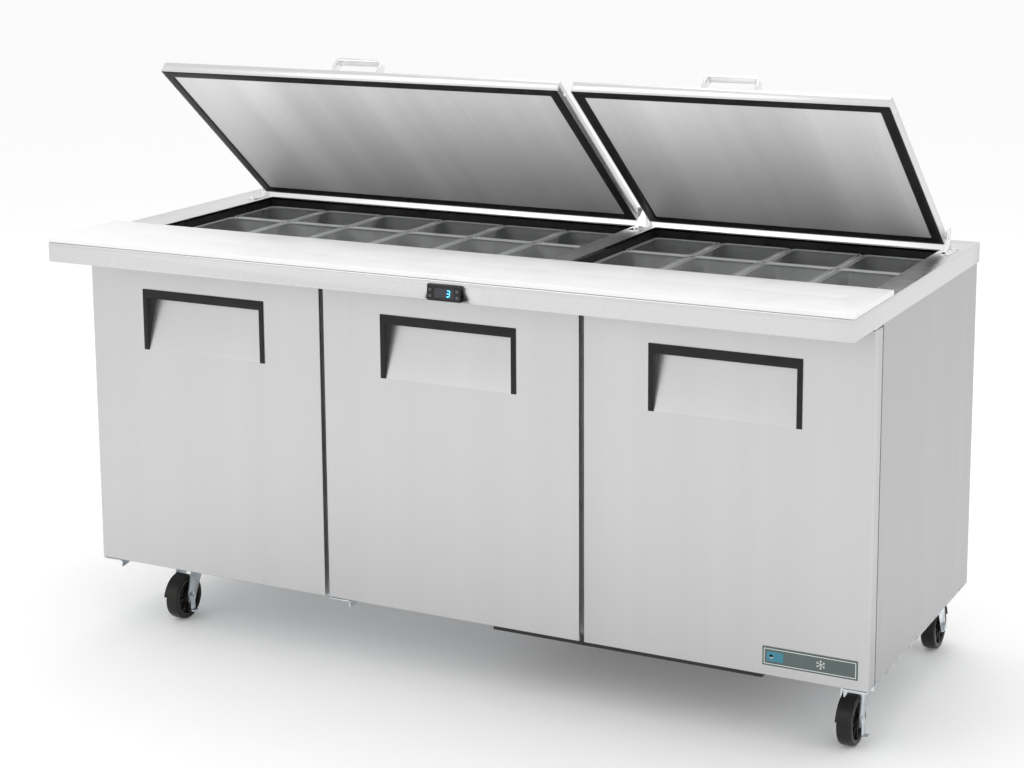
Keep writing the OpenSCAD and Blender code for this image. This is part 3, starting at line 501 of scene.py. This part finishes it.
def makeWorktop(w):
    low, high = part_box("worktop")
    bm = bmesh.new()
    addBox(bm, low, high)
    bmesh.ops.delete(bm, geom=[f for f in bm.faces if f.normal.z < -0.5], context="FACES_ONLY")
    uprights = [e for e in bm.edges if abs((e.verts[0].co - e.verts[1].co).z) > 0.01]
    bmesh.ops.bevel(bm, geom=uprights, offset=w["corner"], segments=3, profile=0.5, affect="EDGES", material=-1)
    brim = [e for e in bm.edges if all(abs(v.co.z - high.z) < 1e-6 for v in e.verts)]
    bmesh.ops.bevel(bm, geom=brim, offset=w["edge"], segments=3, profile=0.5, affect="EDGES", material=-1)
    wells = wellBoxes()
    for x in sorted({x for a, b in wells for x in (a.x, b.x)}):
        splitAt(bm, 0, x)
    for y in (wells[0][0].y, wells[0][1].y):
        splitAt(bm, 1, y)
    holes = [f for f in bm.faces if f.normal.z > 0.9 and any(
        a.x < f.calc_center_median().x < b.x and a.y < f.calc_center_median().y < b.y for a, b in wells)]
    bmesh.ops.delete(bm, geom=holes, context="FACES_ONLY")
    rims = [e for e in bm.edges if e.is_boundary and e.verts[0].co.z > high.z - 0.001]
    grown = bmesh.ops.extrude_edge_only(bm, edges=rims)
    new = [g for g in grown["geom"] if isinstance(g, bmesh.types.BMVert)]
    bmesh.ops.translate(bm, vec=(0, 0, -w["wellLip"]), verts=new)
    # The control's window in the front edge
    lo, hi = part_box("controller")
    for x in (lo.x + w["windowX"], hi.x - w["windowX"]):
        splitAt(bm, 0, x)
    for z in (lo.z + w["windowZ"], hi.z - w["windowZ"]):
        splitAt(bm, 2, z)
    window = [f for f in bm.faces if f.normal.y < -0.9 and lo.x < f.calc_center_median().x < hi.x
              and lo.z < f.calc_center_median().z < hi.z]
    bmesh.ops.delete(bm, geom=window, context="FACES_ONLY")
    # The lower edge is hemmed inwards
    foot = [e for e in bm.edges if e.is_boundary and max(v.co.z for v in e.verts) < low.z + 1e-5]
    grown = bmesh.ops.extrude_edge_only(bm, edges=foot)
    for v in [g for g in grown["geom"] if isinstance(g, bmesh.types.BMVert)]:
        v.co.x -= math.copysign(w["hem"], v.co.x) if abs(v.co.x) > high.x - w["near"] else 0
        v.co.y -= math.copysign(w["hem"], v.co.y) if abs(v.co.y) > high.y - w["near"] else 0
    piece = finishPiece(bm, "worktopSheet", "cabinet", steelTop, ("worktop",))
    wall = piece.modifiers.new("sheet", "SOLIDIFY")
    wall.thickness = w["sheet"]
    wall.offset = -1


def wellBoxes():
    # (low, high) of each well's opening, left then right, from the floor plates
    bm = bmesh.new()
    bm.from_mesh(frame["nodes"]["well_floor"].data)
    xs = sorted({round(v.co.x, 5) for v in bm.verts})
    bm.free()
    low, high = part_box("well_floor")
    return [(Vector((xs[0], low.y, low.z)), Vector((xs[1], high.y, high.z))),
            (Vector((xs[2], low.y, low.z)), Vector((xs[3], high.y, high.z)))]


makeWorktop(worktop)
softened("cutting_board", "board", boardWhite, 0.003, 3)
print("worktop made")

door = {"edge": 0.0022, "sheet": 0.001, "pocketIn": 0.030, "cheek": 0.002, "leg": 0.011, "bar": 0.020,
        "foot": 0.0004, "crease": 0.006, "bore": 0.0052, "boreDepth": 0.004, "inset": 0.022, "raised": 0.003,
        "soft": 0.0014}


def makeDoor(side, d):
    low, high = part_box("door_skin_" + side)
    grip0, grip1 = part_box("door_handle_" + side)
    bm = bmesh.new()
    addBox(bm, low, high)
    bmesh.ops.delete(bm, geom=[f for f in bm.faces if f.normal.y > 0.5], context="FACES_ONLY")
    front = [e for e in bm.edges if not e.is_boundary]
    bmesh.ops.bevel(bm, geom=front, offset=d["edge"], segments=3, profile=0.5, affect="EDGES", material=-1)
    x0 = grip0.x + d["leg"] - d["cheek"]
    x1 = grip1.x - d["leg"] + d["cheek"]
    z1 = grip1.z - d["bar"] + d["cheek"]
    z0 = grip0.z
    for x in (x0, x1):
        splitAt(bm, 0, x)
    for z in (z0, z1):
        splitAt(bm, 2, z)
    pocket = [f for f in bm.faces if f.normal.y < -0.9 and x0 < f.calc_center_median().x < x1
              and z0 < f.calc_center_median().z < z1]
    grown = bmesh.ops.extrude_face_region(bm, geom=pocket)
    bmesh.ops.delete(bm, geom=pocket, context="FACES_ONLY")
    for v in [g for g in grown["geom"] if isinstance(g, bmesh.types.BMVert)]:
        v.co.y += d["pocketIn"] if v.co.z > (z0 + z1) / 2 else d["foot"]
    crease = [e for e in bm.edges if all(abs(v.co.z - z1) < 1e-6 and v.co.y > low.y + 0.02 for v in e.verts)]
    bmesh.ops.bevel(bm, geom=crease, offset=d["crease"], segments=3, profile=0.5, affect="EDGES", material=-1)
    bmesh.ops.remove_doubles(bm, verts=bm.verts, dist=2e-6)
    piece = finishPiece(bm, "doorSheet_" + side, "door_" + side, steelDoor, ("door_skin_" + side,))
    wall = piece.modifiers.new("sheet", "SOLIDIFY")
    wall.thickness = d["sheet"]
    wall.offset = -1
    # Bores round the hinge pins
    x, y, _ = joints["door_" + side + "_hinge"]["pos_m"]
    bores = bmesh.new()
    for z in (low.z, high.z):
        addCylinder(bores, (x, y, z - d["boreDepth"]), (x, y, z + d["boreDepth"]), d["bore"], 32)
    cutOut(piece, bores)
    # Raised inner panel inside the gasket
    a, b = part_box("door_gasket_" + side)
    bm = bmesh.new()
    addRoundBox(bm, (a.x + d["inset"], high.y, a.z + d["inset"]),
                (b.x - d["inset"], high.y + d["raised"], b.z - d["inset"]), d["soft"], 2)
    finishPiece(bm, "doorInner_" + side, "door_" + side, linerCoat)


for side in ("left", "middle", "right"):
    makeDoor(side, door)
    softened("door_handle_" + side, "door_" + side, trimBlack, 0.0012, 2)
    softened("door_gasket_" + side, "door_" + side, gasketBlack, 0.0012, 2)
print("doors made")

lid = {"length": 0.534, "thick": 0.026, "low": 0.0158, "behind": 0.005, "edge": 0.003, "sheet": 0.001,
       "bead": [(0.0012, 0.0028), (0.0012, 0.0014), (0.0030, 0.0003), (0.0070, 0.00005), (0.0170, 0.00005),
                (0.0215, 0.0004), (0.0238, 0.0015), (0.0238, 0.0028)],
       "seam": 0.0012, "pinR": 0.004, "pinOut": 0.0078, "screwBack": 0.035, "inset": 0.021,
       "pullW": 0.120, "pullH": 0.036, "pullD": 0.022, "strap": 0.007, "round": 0.014, "pullBack": 0.006,
       "boltIn": 0.0035, "boltR": 0.0034, "boltH": 0.004}


def makeLid(side, d):
    pin = Vector(joints["lid_" + side + "_hinge"]["pos_m"])
    a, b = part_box("lid_panel_" + side)
    x0, x1 = a.x - d["seam"], b.x + d["seam"]
    y1 = pin.y + d["behind"]
    y0 = y1 - d["length"]
    z0 = pin.z - d["low"]
    z1 = z0 + d["thick"]
    body = "lid_" + side
    bm = bmesh.new()
    addBox(bm, (x0, y0, z0 + 0.001), (x1, y1, z1))
    bmesh.ops.delete(bm, geom=[f for f in bm.faces if f.normal.z < -0.5], context="FACES_ONLY")
    edges = [e for e in bm.edges if not e.is_boundary]
    bmesh.ops.bevel(bm, geom=edges, offset=d["edge"], segments=3, profile=0.5, affect="EDGES", material=-1)
    lidTurned(bm)
    shell = finishPiece(bm, "lidSheet_" + side, body, steelLidSkin, ("lid_skin_" + side,))
    wall = shell.modifiers.new("sheet", "SOLIDIFY")
    wall.thickness = d["sheet"]
    wall.offset = -1
    # Pins at the back corners and screws near the front ones
    bm = bmesh.new()
    for x, out in ((x0, -1), (x1, 1)):
        addCylinder(bm, (x - out * 0.0005, pin.y, pin.z), (x + out * d["pinOut"], pin.y, pin.z), d["pinR"])
        addScrew(bm, (x, y0 + d["screwBack"], (z0 + z1) / 2), (out, 0, 0), 0.004, 0.0018)
    lidTurned(bm)
    finishPiece(bm, "lidPins_" + side, body, polished)
    # The inner face, very slightly crowned between its gaskets
    bm = bmesh.new()
    t = d["inset"]
    addRoundBox(bm, (x0 + t, y0 + t, z0 + 0.0021), (x1 - t, y1 - t, z0 + 0.004), 0.0007, 2)
    lidTurned(bm)
    finishPiece(bm, "lidInner_" + side, body, steelLid)
    # Gasket: a soft bead all round the edge
    bm = bmesh.new()
    rings = [roundRing(bm, x0 + t, x1 - t, y0 + t, y1 - t, z0 + z, 0.0025, 3) for t, z in d["bead"]]
    loft(bm, rings + rings[:1])
    lidTurned(bm)
    finishPiece(bm, "lidGasket_" + side, body, gasketBlack, ("lid_gasket_" + side,))
    makePull(side, d, (x0 + x1) / 2, y0 + d["pullBack"], z1 + 0.0002)


def makePull(side, d, mid, y, z):
    # A bent strap with wide rounded shoulders
    bm = bmesh.new()
    half = d["pullW"] / 2
    addBox(bm, (mid - half, y, z), (mid + half, y + d["pullD"], z + d["pullH"]))
    caps = [f for f in bm.faces if f.normal.z < -0.5]
    bmesh.ops.delete(bm, geom=caps, context="FACES_ONLY")
    ends = [f for f in bm.faces if abs(f.normal.y) > 0.5]
    bmesh.ops.delete(bm, geom=ends, context="FACES_ONLY")
    corners = [e for e in bm.edges if all(v.co.z > z + 0.01 for v in e.verts) and
               abs(e.verts[0].co.x - e.verts[1].co.x) < 1e-6]
    bmesh.ops.bevel(bm, geom=corners, offset=d["round"], segments=6, profile=0.5, affect="EDGES", material=-1)
    bmesh.ops.recalc_face_normals(bm, faces=bm.faces)
    if sum(f.normal.z for f in bm.faces) < 0:
        bmesh.ops.reverse_faces(bm, faces=bm.faces)
    bmesh.ops.solidify(bm, geom=bm.faces[:], thickness=d["strap"])
    bmesh.ops.bevel(bm, geom=sharpEdges(bm, angle=50), offset=0.002, segments=3, profile=0.5, affect="EDGES",
                    material=-1)
    y += d["pullD"] / 2
    for x in (mid - half + d["boltIn"], mid + half - d["boltIn"]):
        addCylinder(bm, (x, y, z), (x, y, z + d["boltH"]), d["boltR"])
    lidTurned(bm)
    finishPiece(bm, "lidPull_" + side, "lid_" + side, polished, ("lid_handle_" + side,))


for side in ("left", "right"):
    makeLid(side, lid)
print("lids made")

pan = {"w": 0.162, "l": 0.176, "gap": 0.0008, "side": 0.003, "wall": 0.0022, "rows": 3,
       "holeR": 0.0055, "holeStep": 0.034, "holeAt": 0.72, "holeDeep": 0.004,
       "profile": [(0.0, -0.0040, 0.013), (0.0, -0.0012, 0.013), (0.0012, 0.0, 0.012), (0.0032, 0.0, 0.0105),
                   (0.0040, -0.0010, 0.010), (0.0080, -0.0010, 0.010), (0.0090, 0.0, 0.010),
                   (0.0102, -0.0002, 0.012), (0.0112, -0.0016, 0.013), (0.0122, -0.0170, 0.015),
                   (0.0140, -0.0185, 0.016), (0.0195, -0.0880, 0.021), (0.0215, -0.0950, 0.021),
                   (0.0265, -0.0992, 0.020)]}


def columns(a, b, d):
    # How many pans fit in a well's length
    return int((b.x - a.x - 2 * d["side"] + d["gap"]) / (d["w"] + d["gap"]) + 0.5)


def makePans(d):
    for label, (a, b) in zip(("left", "right"), wellBoxes()):
        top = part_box("pans")[1].z
        bm = bmesh.new()
        rings = [roundRing(bm, t, d["w"] - t, t, d["l"] - t, z, r) for t, z, r in d["profile"]]
        loft(bm, rings)
        bm.faces.new(rings[-1])
        bmesh.ops.recalc_face_normals(bm, faces=bm.faces)
        if min(bm.faces, key=lambda f: f.calc_center_median().z).normal.z < 0:
            bmesh.ops.reverse_faces(bm, faces=bm.faces)
        one = bpy.data.meshes.new("onePan")
        bm.to_mesh(one)
        bm.free()
        field = bmesh.new()
        for i in range(columns(a, b, d)):
            for j in range(d["rows"]):
                before = len(field.verts)
                field.from_mesh(one)
                field.verts.ensure_lookup_table()
                x = a.x + d["side"] + i * (d["w"] + d["gap"])
                y = a.y + d["side"] + j * (d["l"] + d["gap"])
                bmesh.ops.translate(field, vec=(x, y, top), verts=field.verts[before:])
        mesh = bpy.data.meshes.new("clearPans_" + label)
        field.to_mesh(mesh)
        field.free()
        bpy.data.meshes.remove(one)
        mesh.materials.append(clearPan)
        mesh.shade_smooth()
        mesh.set_sharp_from_angle(angle=math.radians(50))
        piece = bpy.data.objects.new("clearPans_" + label, mesh)
        bpy.context.scene.collection.objects.link(piece)
        wall = piece.modifiers.new("wall", "SOLIDIFY")
        wall.thickness = d["wall"]
        wall.offset = -1
        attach(piece, "cabinet")
        if label == "left":
            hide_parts("pans")


def makeWellFloor(d):
    # Stainless plates with three air holes under each pan, and a bright bead along each well's back edge
    bm = bmesh.new()
    holes = bmesh.new()
    for a, b in wellBoxes():
        addBox(bm, a, b)
        for i in range(columns(a, b, d)):
            for j in range(d["rows"]):
                for k in (-1, 0, 1):
                    x = a.x + d["side"] + (i + 0.5) * (d["w"] + d["gap"]) + k * d["holeStep"]
                    y = a.y + d["side"] + (j + d["holeAt"]) * (d["l"] + d["gap"])
                    addCylinder(holes, (x, y, a.z - d["holeDeep"]), (x, y, b.z + d["holeDeep"]), d["holeR"], 16)
    piece = finishPiece(bm, "wellFloorPlates", "cabinet", steelFloor, ("well_floor",), False)
    cutOut(piece, holes)
    bm = bmesh.new()
    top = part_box("worktop")[1].z
    for a, b in wellBoxes():
        addRoundBox(bm, (a.x, b.y - 0.001, top - 0.001), (b.x, b.y + 0.003, top + 0.002), 0.0009, 2)
    finishPiece(bm, "wellBeads", "cabinet", polished)


makePans(pan)
makeWellFloor(pan)
print("pans made")

caster = {"profile": [(0.0061, -0.0178), (0.0125, -0.0178), (0.0145, -0.0165), (0.0150, -0.0080), (0.0360, -0.0080),
                      (0.0385, -0.0150), (0.0400, -0.0160), (0.0465, -0.0160), (0.0500, -0.0135),
                      (0.05098, -0.0080)],
          "ribs": 8, "ribOut": 0.0105, "guardIn": 0.0530, "guardOut": 0.0552, "guardHalf": 0.0165, "guardTurn": 78,
          "nutOut": 0.0225, "nutR": 0.0098, "nutH": 0.0048, "washerR": 0.0115, "washerH": 0.0008}


def makeWheel(where, d):
    low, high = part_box("caster_wheel_" + where)
    mid = (low + high) / 2
    bm = bmesh.new()
    points = d["profile"] + [(r, -x) for r, x in reversed(d["profile"])]
    ring = [bm.verts.new((x, r, 0)) for r, x in points]
    edges = [bm.edges.new((ring[i], ring[(i + 1) % len(ring)])) for i in range(len(ring))]
    bmesh.ops.spin(bm, geom=ring + edges, cent=(0, 0, 0), axis=(1, 0, 0), dvec=(0, 0, 0), steps=64,
                   angle=2 * math.pi, use_merge=True, use_duplicate=False)
    bmesh.ops.remove_doubles(bm, verts=bm.verts, dist=1e-6)
    # Ribs between hub and rim on both sides
    for k in range(d["ribs"]):
        turn = Matrix.Rotation(2 * math.pi * k / d["ribs"], 4, "X")
        for x in (-d["ribOut"], d["ribOut"]):
            rib = addBox(bm, (x - 0.003, 0.0143, -0.0015), (x + 0.003, 0.0368, 0.0015))
            bmesh.ops.transform(bm, matrix=turn, verts=rib)
    bmesh.ops.translate(bm, vec=mid, verts=bm.verts)
    finishPiece(bm, "wheel_" + where, "wheel_" + where, wheelBlack, ("caster_wheel_" + where,))


def makeGuard(where, end, d):
    # Black guard over the wheel's outer upper quarter, and axle nuts on the fork, clear of a brake pedal
    low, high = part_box("caster_wheel_" + where)
    mid = (low + high) / 2
    bm = bmesh.new()
    inner, outer, half = d["guardIn"], d["guardOut"], d["guardHalf"]
    ring = [bm.verts.new((x, 0, r)) for x, r in ((-half, inner), (-half, outer), (half, outer), (half, inner))]
    edges = [bm.edges.new((ring[i], ring[(i + 1) % 4])) for i in range(4)]
    bmesh.ops.spin(bm, geom=ring + edges, cent=(0, 0, 0), axis=(1, 0, 0), dvec=(0, 0, 0), steps=14,
                   angle=math.radians(d["guardTurn"]) * -end, use_merge=False, use_duplicate=False)
    bmesh.ops.holes_fill(bm, edges=[e for e in bm.edges if e.is_boundary], sides=4)
    bmesh.ops.translate(bm, vec=mid, verts=bm.verts)
    finishPiece(bm, "wheelGuard_" + where, "swivel_" + where, wheelBlack)
    bm = bmesh.new()
    nutSides = (-1, 1) if end > 0 else (-1,)
    for out in nutSides:
        x = mid.x + out * d["nutOut"]
        addCylinder(bm, (x, mid.y, mid.z), (x + out * d["nutH"], mid.y, mid.z), d["nutR"], 6)
        washer = (x - out * 0.0002, mid.y, mid.z), (x + out * d["washerH"], mid.y, mid.z)
        addCylinder(bm, *washer, d["washerR"], 28)
    finishPiece(bm, "axleNuts_" + where, "swivel_" + where, zincPlate)


for where, end in (("front_left", -1), ("front_right", -1), ("rear_left", 1), ("rear_right", 1)):
    makeWheel(where, caster)
    makeGuard(where, end, caster)
    softened("caster_fork_" + where, "swivel_" + where, zincPlate, 0.0006, 1)
softened("caster_mounts", "cabinet", zincPlate, 0.0006, 1)
for side in ("left", "right"):
    softened("brake_pedal_" + side, "pedal_" + side, zincPlate, 0.0007, 2)
print("casters made")

softened("lid_brackets", "cabinet", polished, 0.0006, 2)
softened("door_hinges", "cabinet", zincPlate, 0.0006, 2)
softened("controller", "cabinet", caseBlack, 0.0008, 2, longer=0.014)
for key in ("set", "power", "up", "down"):
    softened("button_" + key, "key_" + key, buttonGrey, 0.0005, 2)


bracketScrews = {"foot": 0.0025, "side": 0.008, "near": 0.010, "front": 0.022, "far": 0.030, "r": 0.0045,
                 "h": 0.0024}


def makeBracketScrews(d):
    low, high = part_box("lid_brackets")
    wells = wellBoxes()
    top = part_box("worktop")[1].z + d["foot"]
    middle = (wells[0][1].x + wells[1][0].x) / 2
    bm = bmesh.new()
    spots = [(middle, low.y + d["near"]), (middle, low.y + d["far"])]
    for x in (low.x + d["side"], high.x - d["side"]):
        spots += [(x, low.y + d["front"]), (x, high.y - d["near"])]
    for x, y in spots:
        addScrew(bm, (x, y, top), (0, 0, 1), d["r"], d["h"])
    finishPiece(bm, "bracketScrews", "cabinet", polished)


digits = {"tall": 0.0125, "wide": 0.0068, "bar": 0.0012, "slant": 0.14, "step": 0.0105, "first": -0.011,
          "glassX": 0.0225, "glassZ": 0.0105}
segments = {"3": "abgcd", "8": "abcdefg"}


def makeDigits(d):
    low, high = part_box("controller")
    mid = (low + high) / 2
    face = low.y + 0.0009
    lit, dim = bmesh.new(), bmesh.new()
    glass = bmesh.new()
    addRoundBox(glass, (mid.x - d["glassX"], face, mid.z - d["glassZ"]),
                (mid.x + d["glassX"], face + 0.001, mid.z + d["glassZ"]), 0.0003, 1)
    finishPiece(glass, "controlGlass", "cabinet", smokedGlass)
    h, w, t = d["tall"] / 2, d["wide"] / 2, d["bar"] / 2
    bars = {"a": (0, h, 1), "g": (0, 0, 1), "d": (0, -h, 1), "b": (w, h / 2, 0), "c": (w, -h / 2, 0),
            "f": (-w, h / 2, 0), "e": (-w, -h / 2, 0)}
    for i, (digit, bm) in enumerate((("8", dim), ("8", dim), ("3", lit))):
        for name, (x, z, flat) in bars.items():
            if name not in segments[digit]:
                continue
            long = (w if flat else h / 2) - 0.0007
            sx, sz = (long, t) if flat else (t, long)
            verts = addBox(bm, (x - sx, -0.0002, z - sz), (x + sx, 0.0002, z + sz))
            for v in verts:
                v.co.x += v.co.z * d["slant"]
            place = (mid.x + d["first"] + i * d["step"], face - 0.0002, mid.z)
            bmesh.ops.translate(bm, vec=place, verts=verts)
    finishPiece(lit, "digitLit", "cabinet", digitOn, (), False)
    finishPiece(dim, "digitsDim", "cabinet", digitDim, (), False)


plate = {"inset": 0.0035, "bar": 0.0013, "crystalAt": 0.62, "arm": 0.010, "twig": 0.0034, "twigAt": 0.0058,
         "lean": 48, "margin": 0.006, "patch": 0.040, "markAt": 0.015, "markR": 0.0042}


def makeNamePlate(d):
    low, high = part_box("name_plate")
    face = low.y
    bm = bmesh.new()
    addRoundBox(bm, low + Vector((0, 0.0002, 0)), high, 0.0004, 1)
    finishPiece(bm, "plateField", "door_right", plateGreen, ("name_plate",))
    bm = bmesh.new()
    inset, bar = d["inset"], d["bar"]
    x0, x1, z0, z1 = low.x + inset, high.x - inset, low.z + inset, high.z - inset
    for a, b in (((x0, z0), (x1, z0 + bar)), ((x0, z1 - bar), (x1, z1)), ((x0, z0 + bar), (x0 + bar, z1 - bar)),
                 ((x1 - bar, z0 + bar), (x1, z1 - bar))):
        addBox(bm, (a[0], face, a[1]), (b[0], face + 0.0004, b[1]))
    # A plain snow crystal, the general sign for cold
    centre = Vector((x0 + (x1 - x0) * d["crystalAt"], face + 0.0001, (z0 + z1) / 2))
    for k in range(3):
        turn = Matrix.Translation(centre) @ Matrix.Rotation(math.radians(60 * k), 4, "Y")
        arm = addBox(bm, (-0.0005, 0, -d["arm"]), (0.0005, 0.0003, d["arm"]))
        bmesh.ops.transform(bm, matrix=turn, verts=arm)
        for up in (-1, 1):
            for lean in (-1, 1):
                twig = addBox(bm, (-0.0004, 0, 0), (0.0004, 0.0003, d["twig"]))
                bend = Matrix.Translation((0, 0, up * d["twigAt"])) @ Matrix.Rotation(
                    math.radians(d["lean"] * lean + (0 if up > 0 else 180)), 4, "Y")
                bmesh.ops.transform(bm, matrix=turn @ bend, verts=twig)
    finishPiece(bm, "plateLines", "door_right", platePale, (), False)
    bm = bmesh.new()
    addRoundBox(bm, (x0 + d["margin"], face, z0 + d["margin"]),
                (x0 + d["patch"], face + 0.0004, z1 - d["margin"]), 0.0002, 1)
    finishPiece(bm, "platePatch", "door_right", plateTeal)
    bm = bmesh.new()
    middle = (z0 + z1) / 2
    addCylinder(bm, (x0 + d["markAt"], face, middle), (x0 + d["markAt"], face + 0.0002, middle), d["markR"], 6)
    finishPiece(bm, "plateMark", "door_right", platePale, (), False)


makeBracketScrews(bracketScrews)
makeDigits(digits)
makeNamePlate(plate)
print("fittings made")

finishes = {steelSide: ["side_panel_left", "side_panel_right", "back_panel", "rear_grille"],
            steelFrame: ["face_frame"], galvanised: ["base_pan"],
            linerCoat: ["liner", "door_core_left", "door_core_middle", "door_core_right"],
            foamEdge: ["insulation"], wellBlack: ["well_walls"],
            shelfCoat: ["shelves"], coilMetal: ["condenser", "evaporator", "condenser_fan"],
            paintBlack: ["compressor", "unit_tray"], caseBlack: ["power_inlet", "evaporator_fan"],
            steelLid: ["lid_panel_left", "lid_panel_right"]}
for material, names in finishes.items():
    for name in names:
        node = frame["nodes"][name]
        node.data.materials.clear()
        node.data.materials.append(material)
        if name in ("compressor", "shelves", "evaporator_fan", "condenser_fan", "power_inlet"):
            node.data.shade_smooth()
            node.data.set_sharp_from_angle(angle=math.radians(35))

stageFloor = {"half": 90, "under": 0.0005}
bm = bmesh.new()
bmesh.ops.create_grid(bm, x_segments=1, y_segments=1, size=stageFloor["half"])
bmesh.ops.translate(bm, vec=(0, 0, cadBox[0].z - stageFloor["under"]), verts=bm.verts)
mesh = bpy.data.meshes.new("floor")
bm.to_mesh(mesh)
bm.free()
floor = bpy.data.objects.new("floor", mesh)
bpy.context.scene.collection.objects.link(floor)
mesh.materials.append(floorPale)

bpy.context.view_layer.update()
print("finishing")
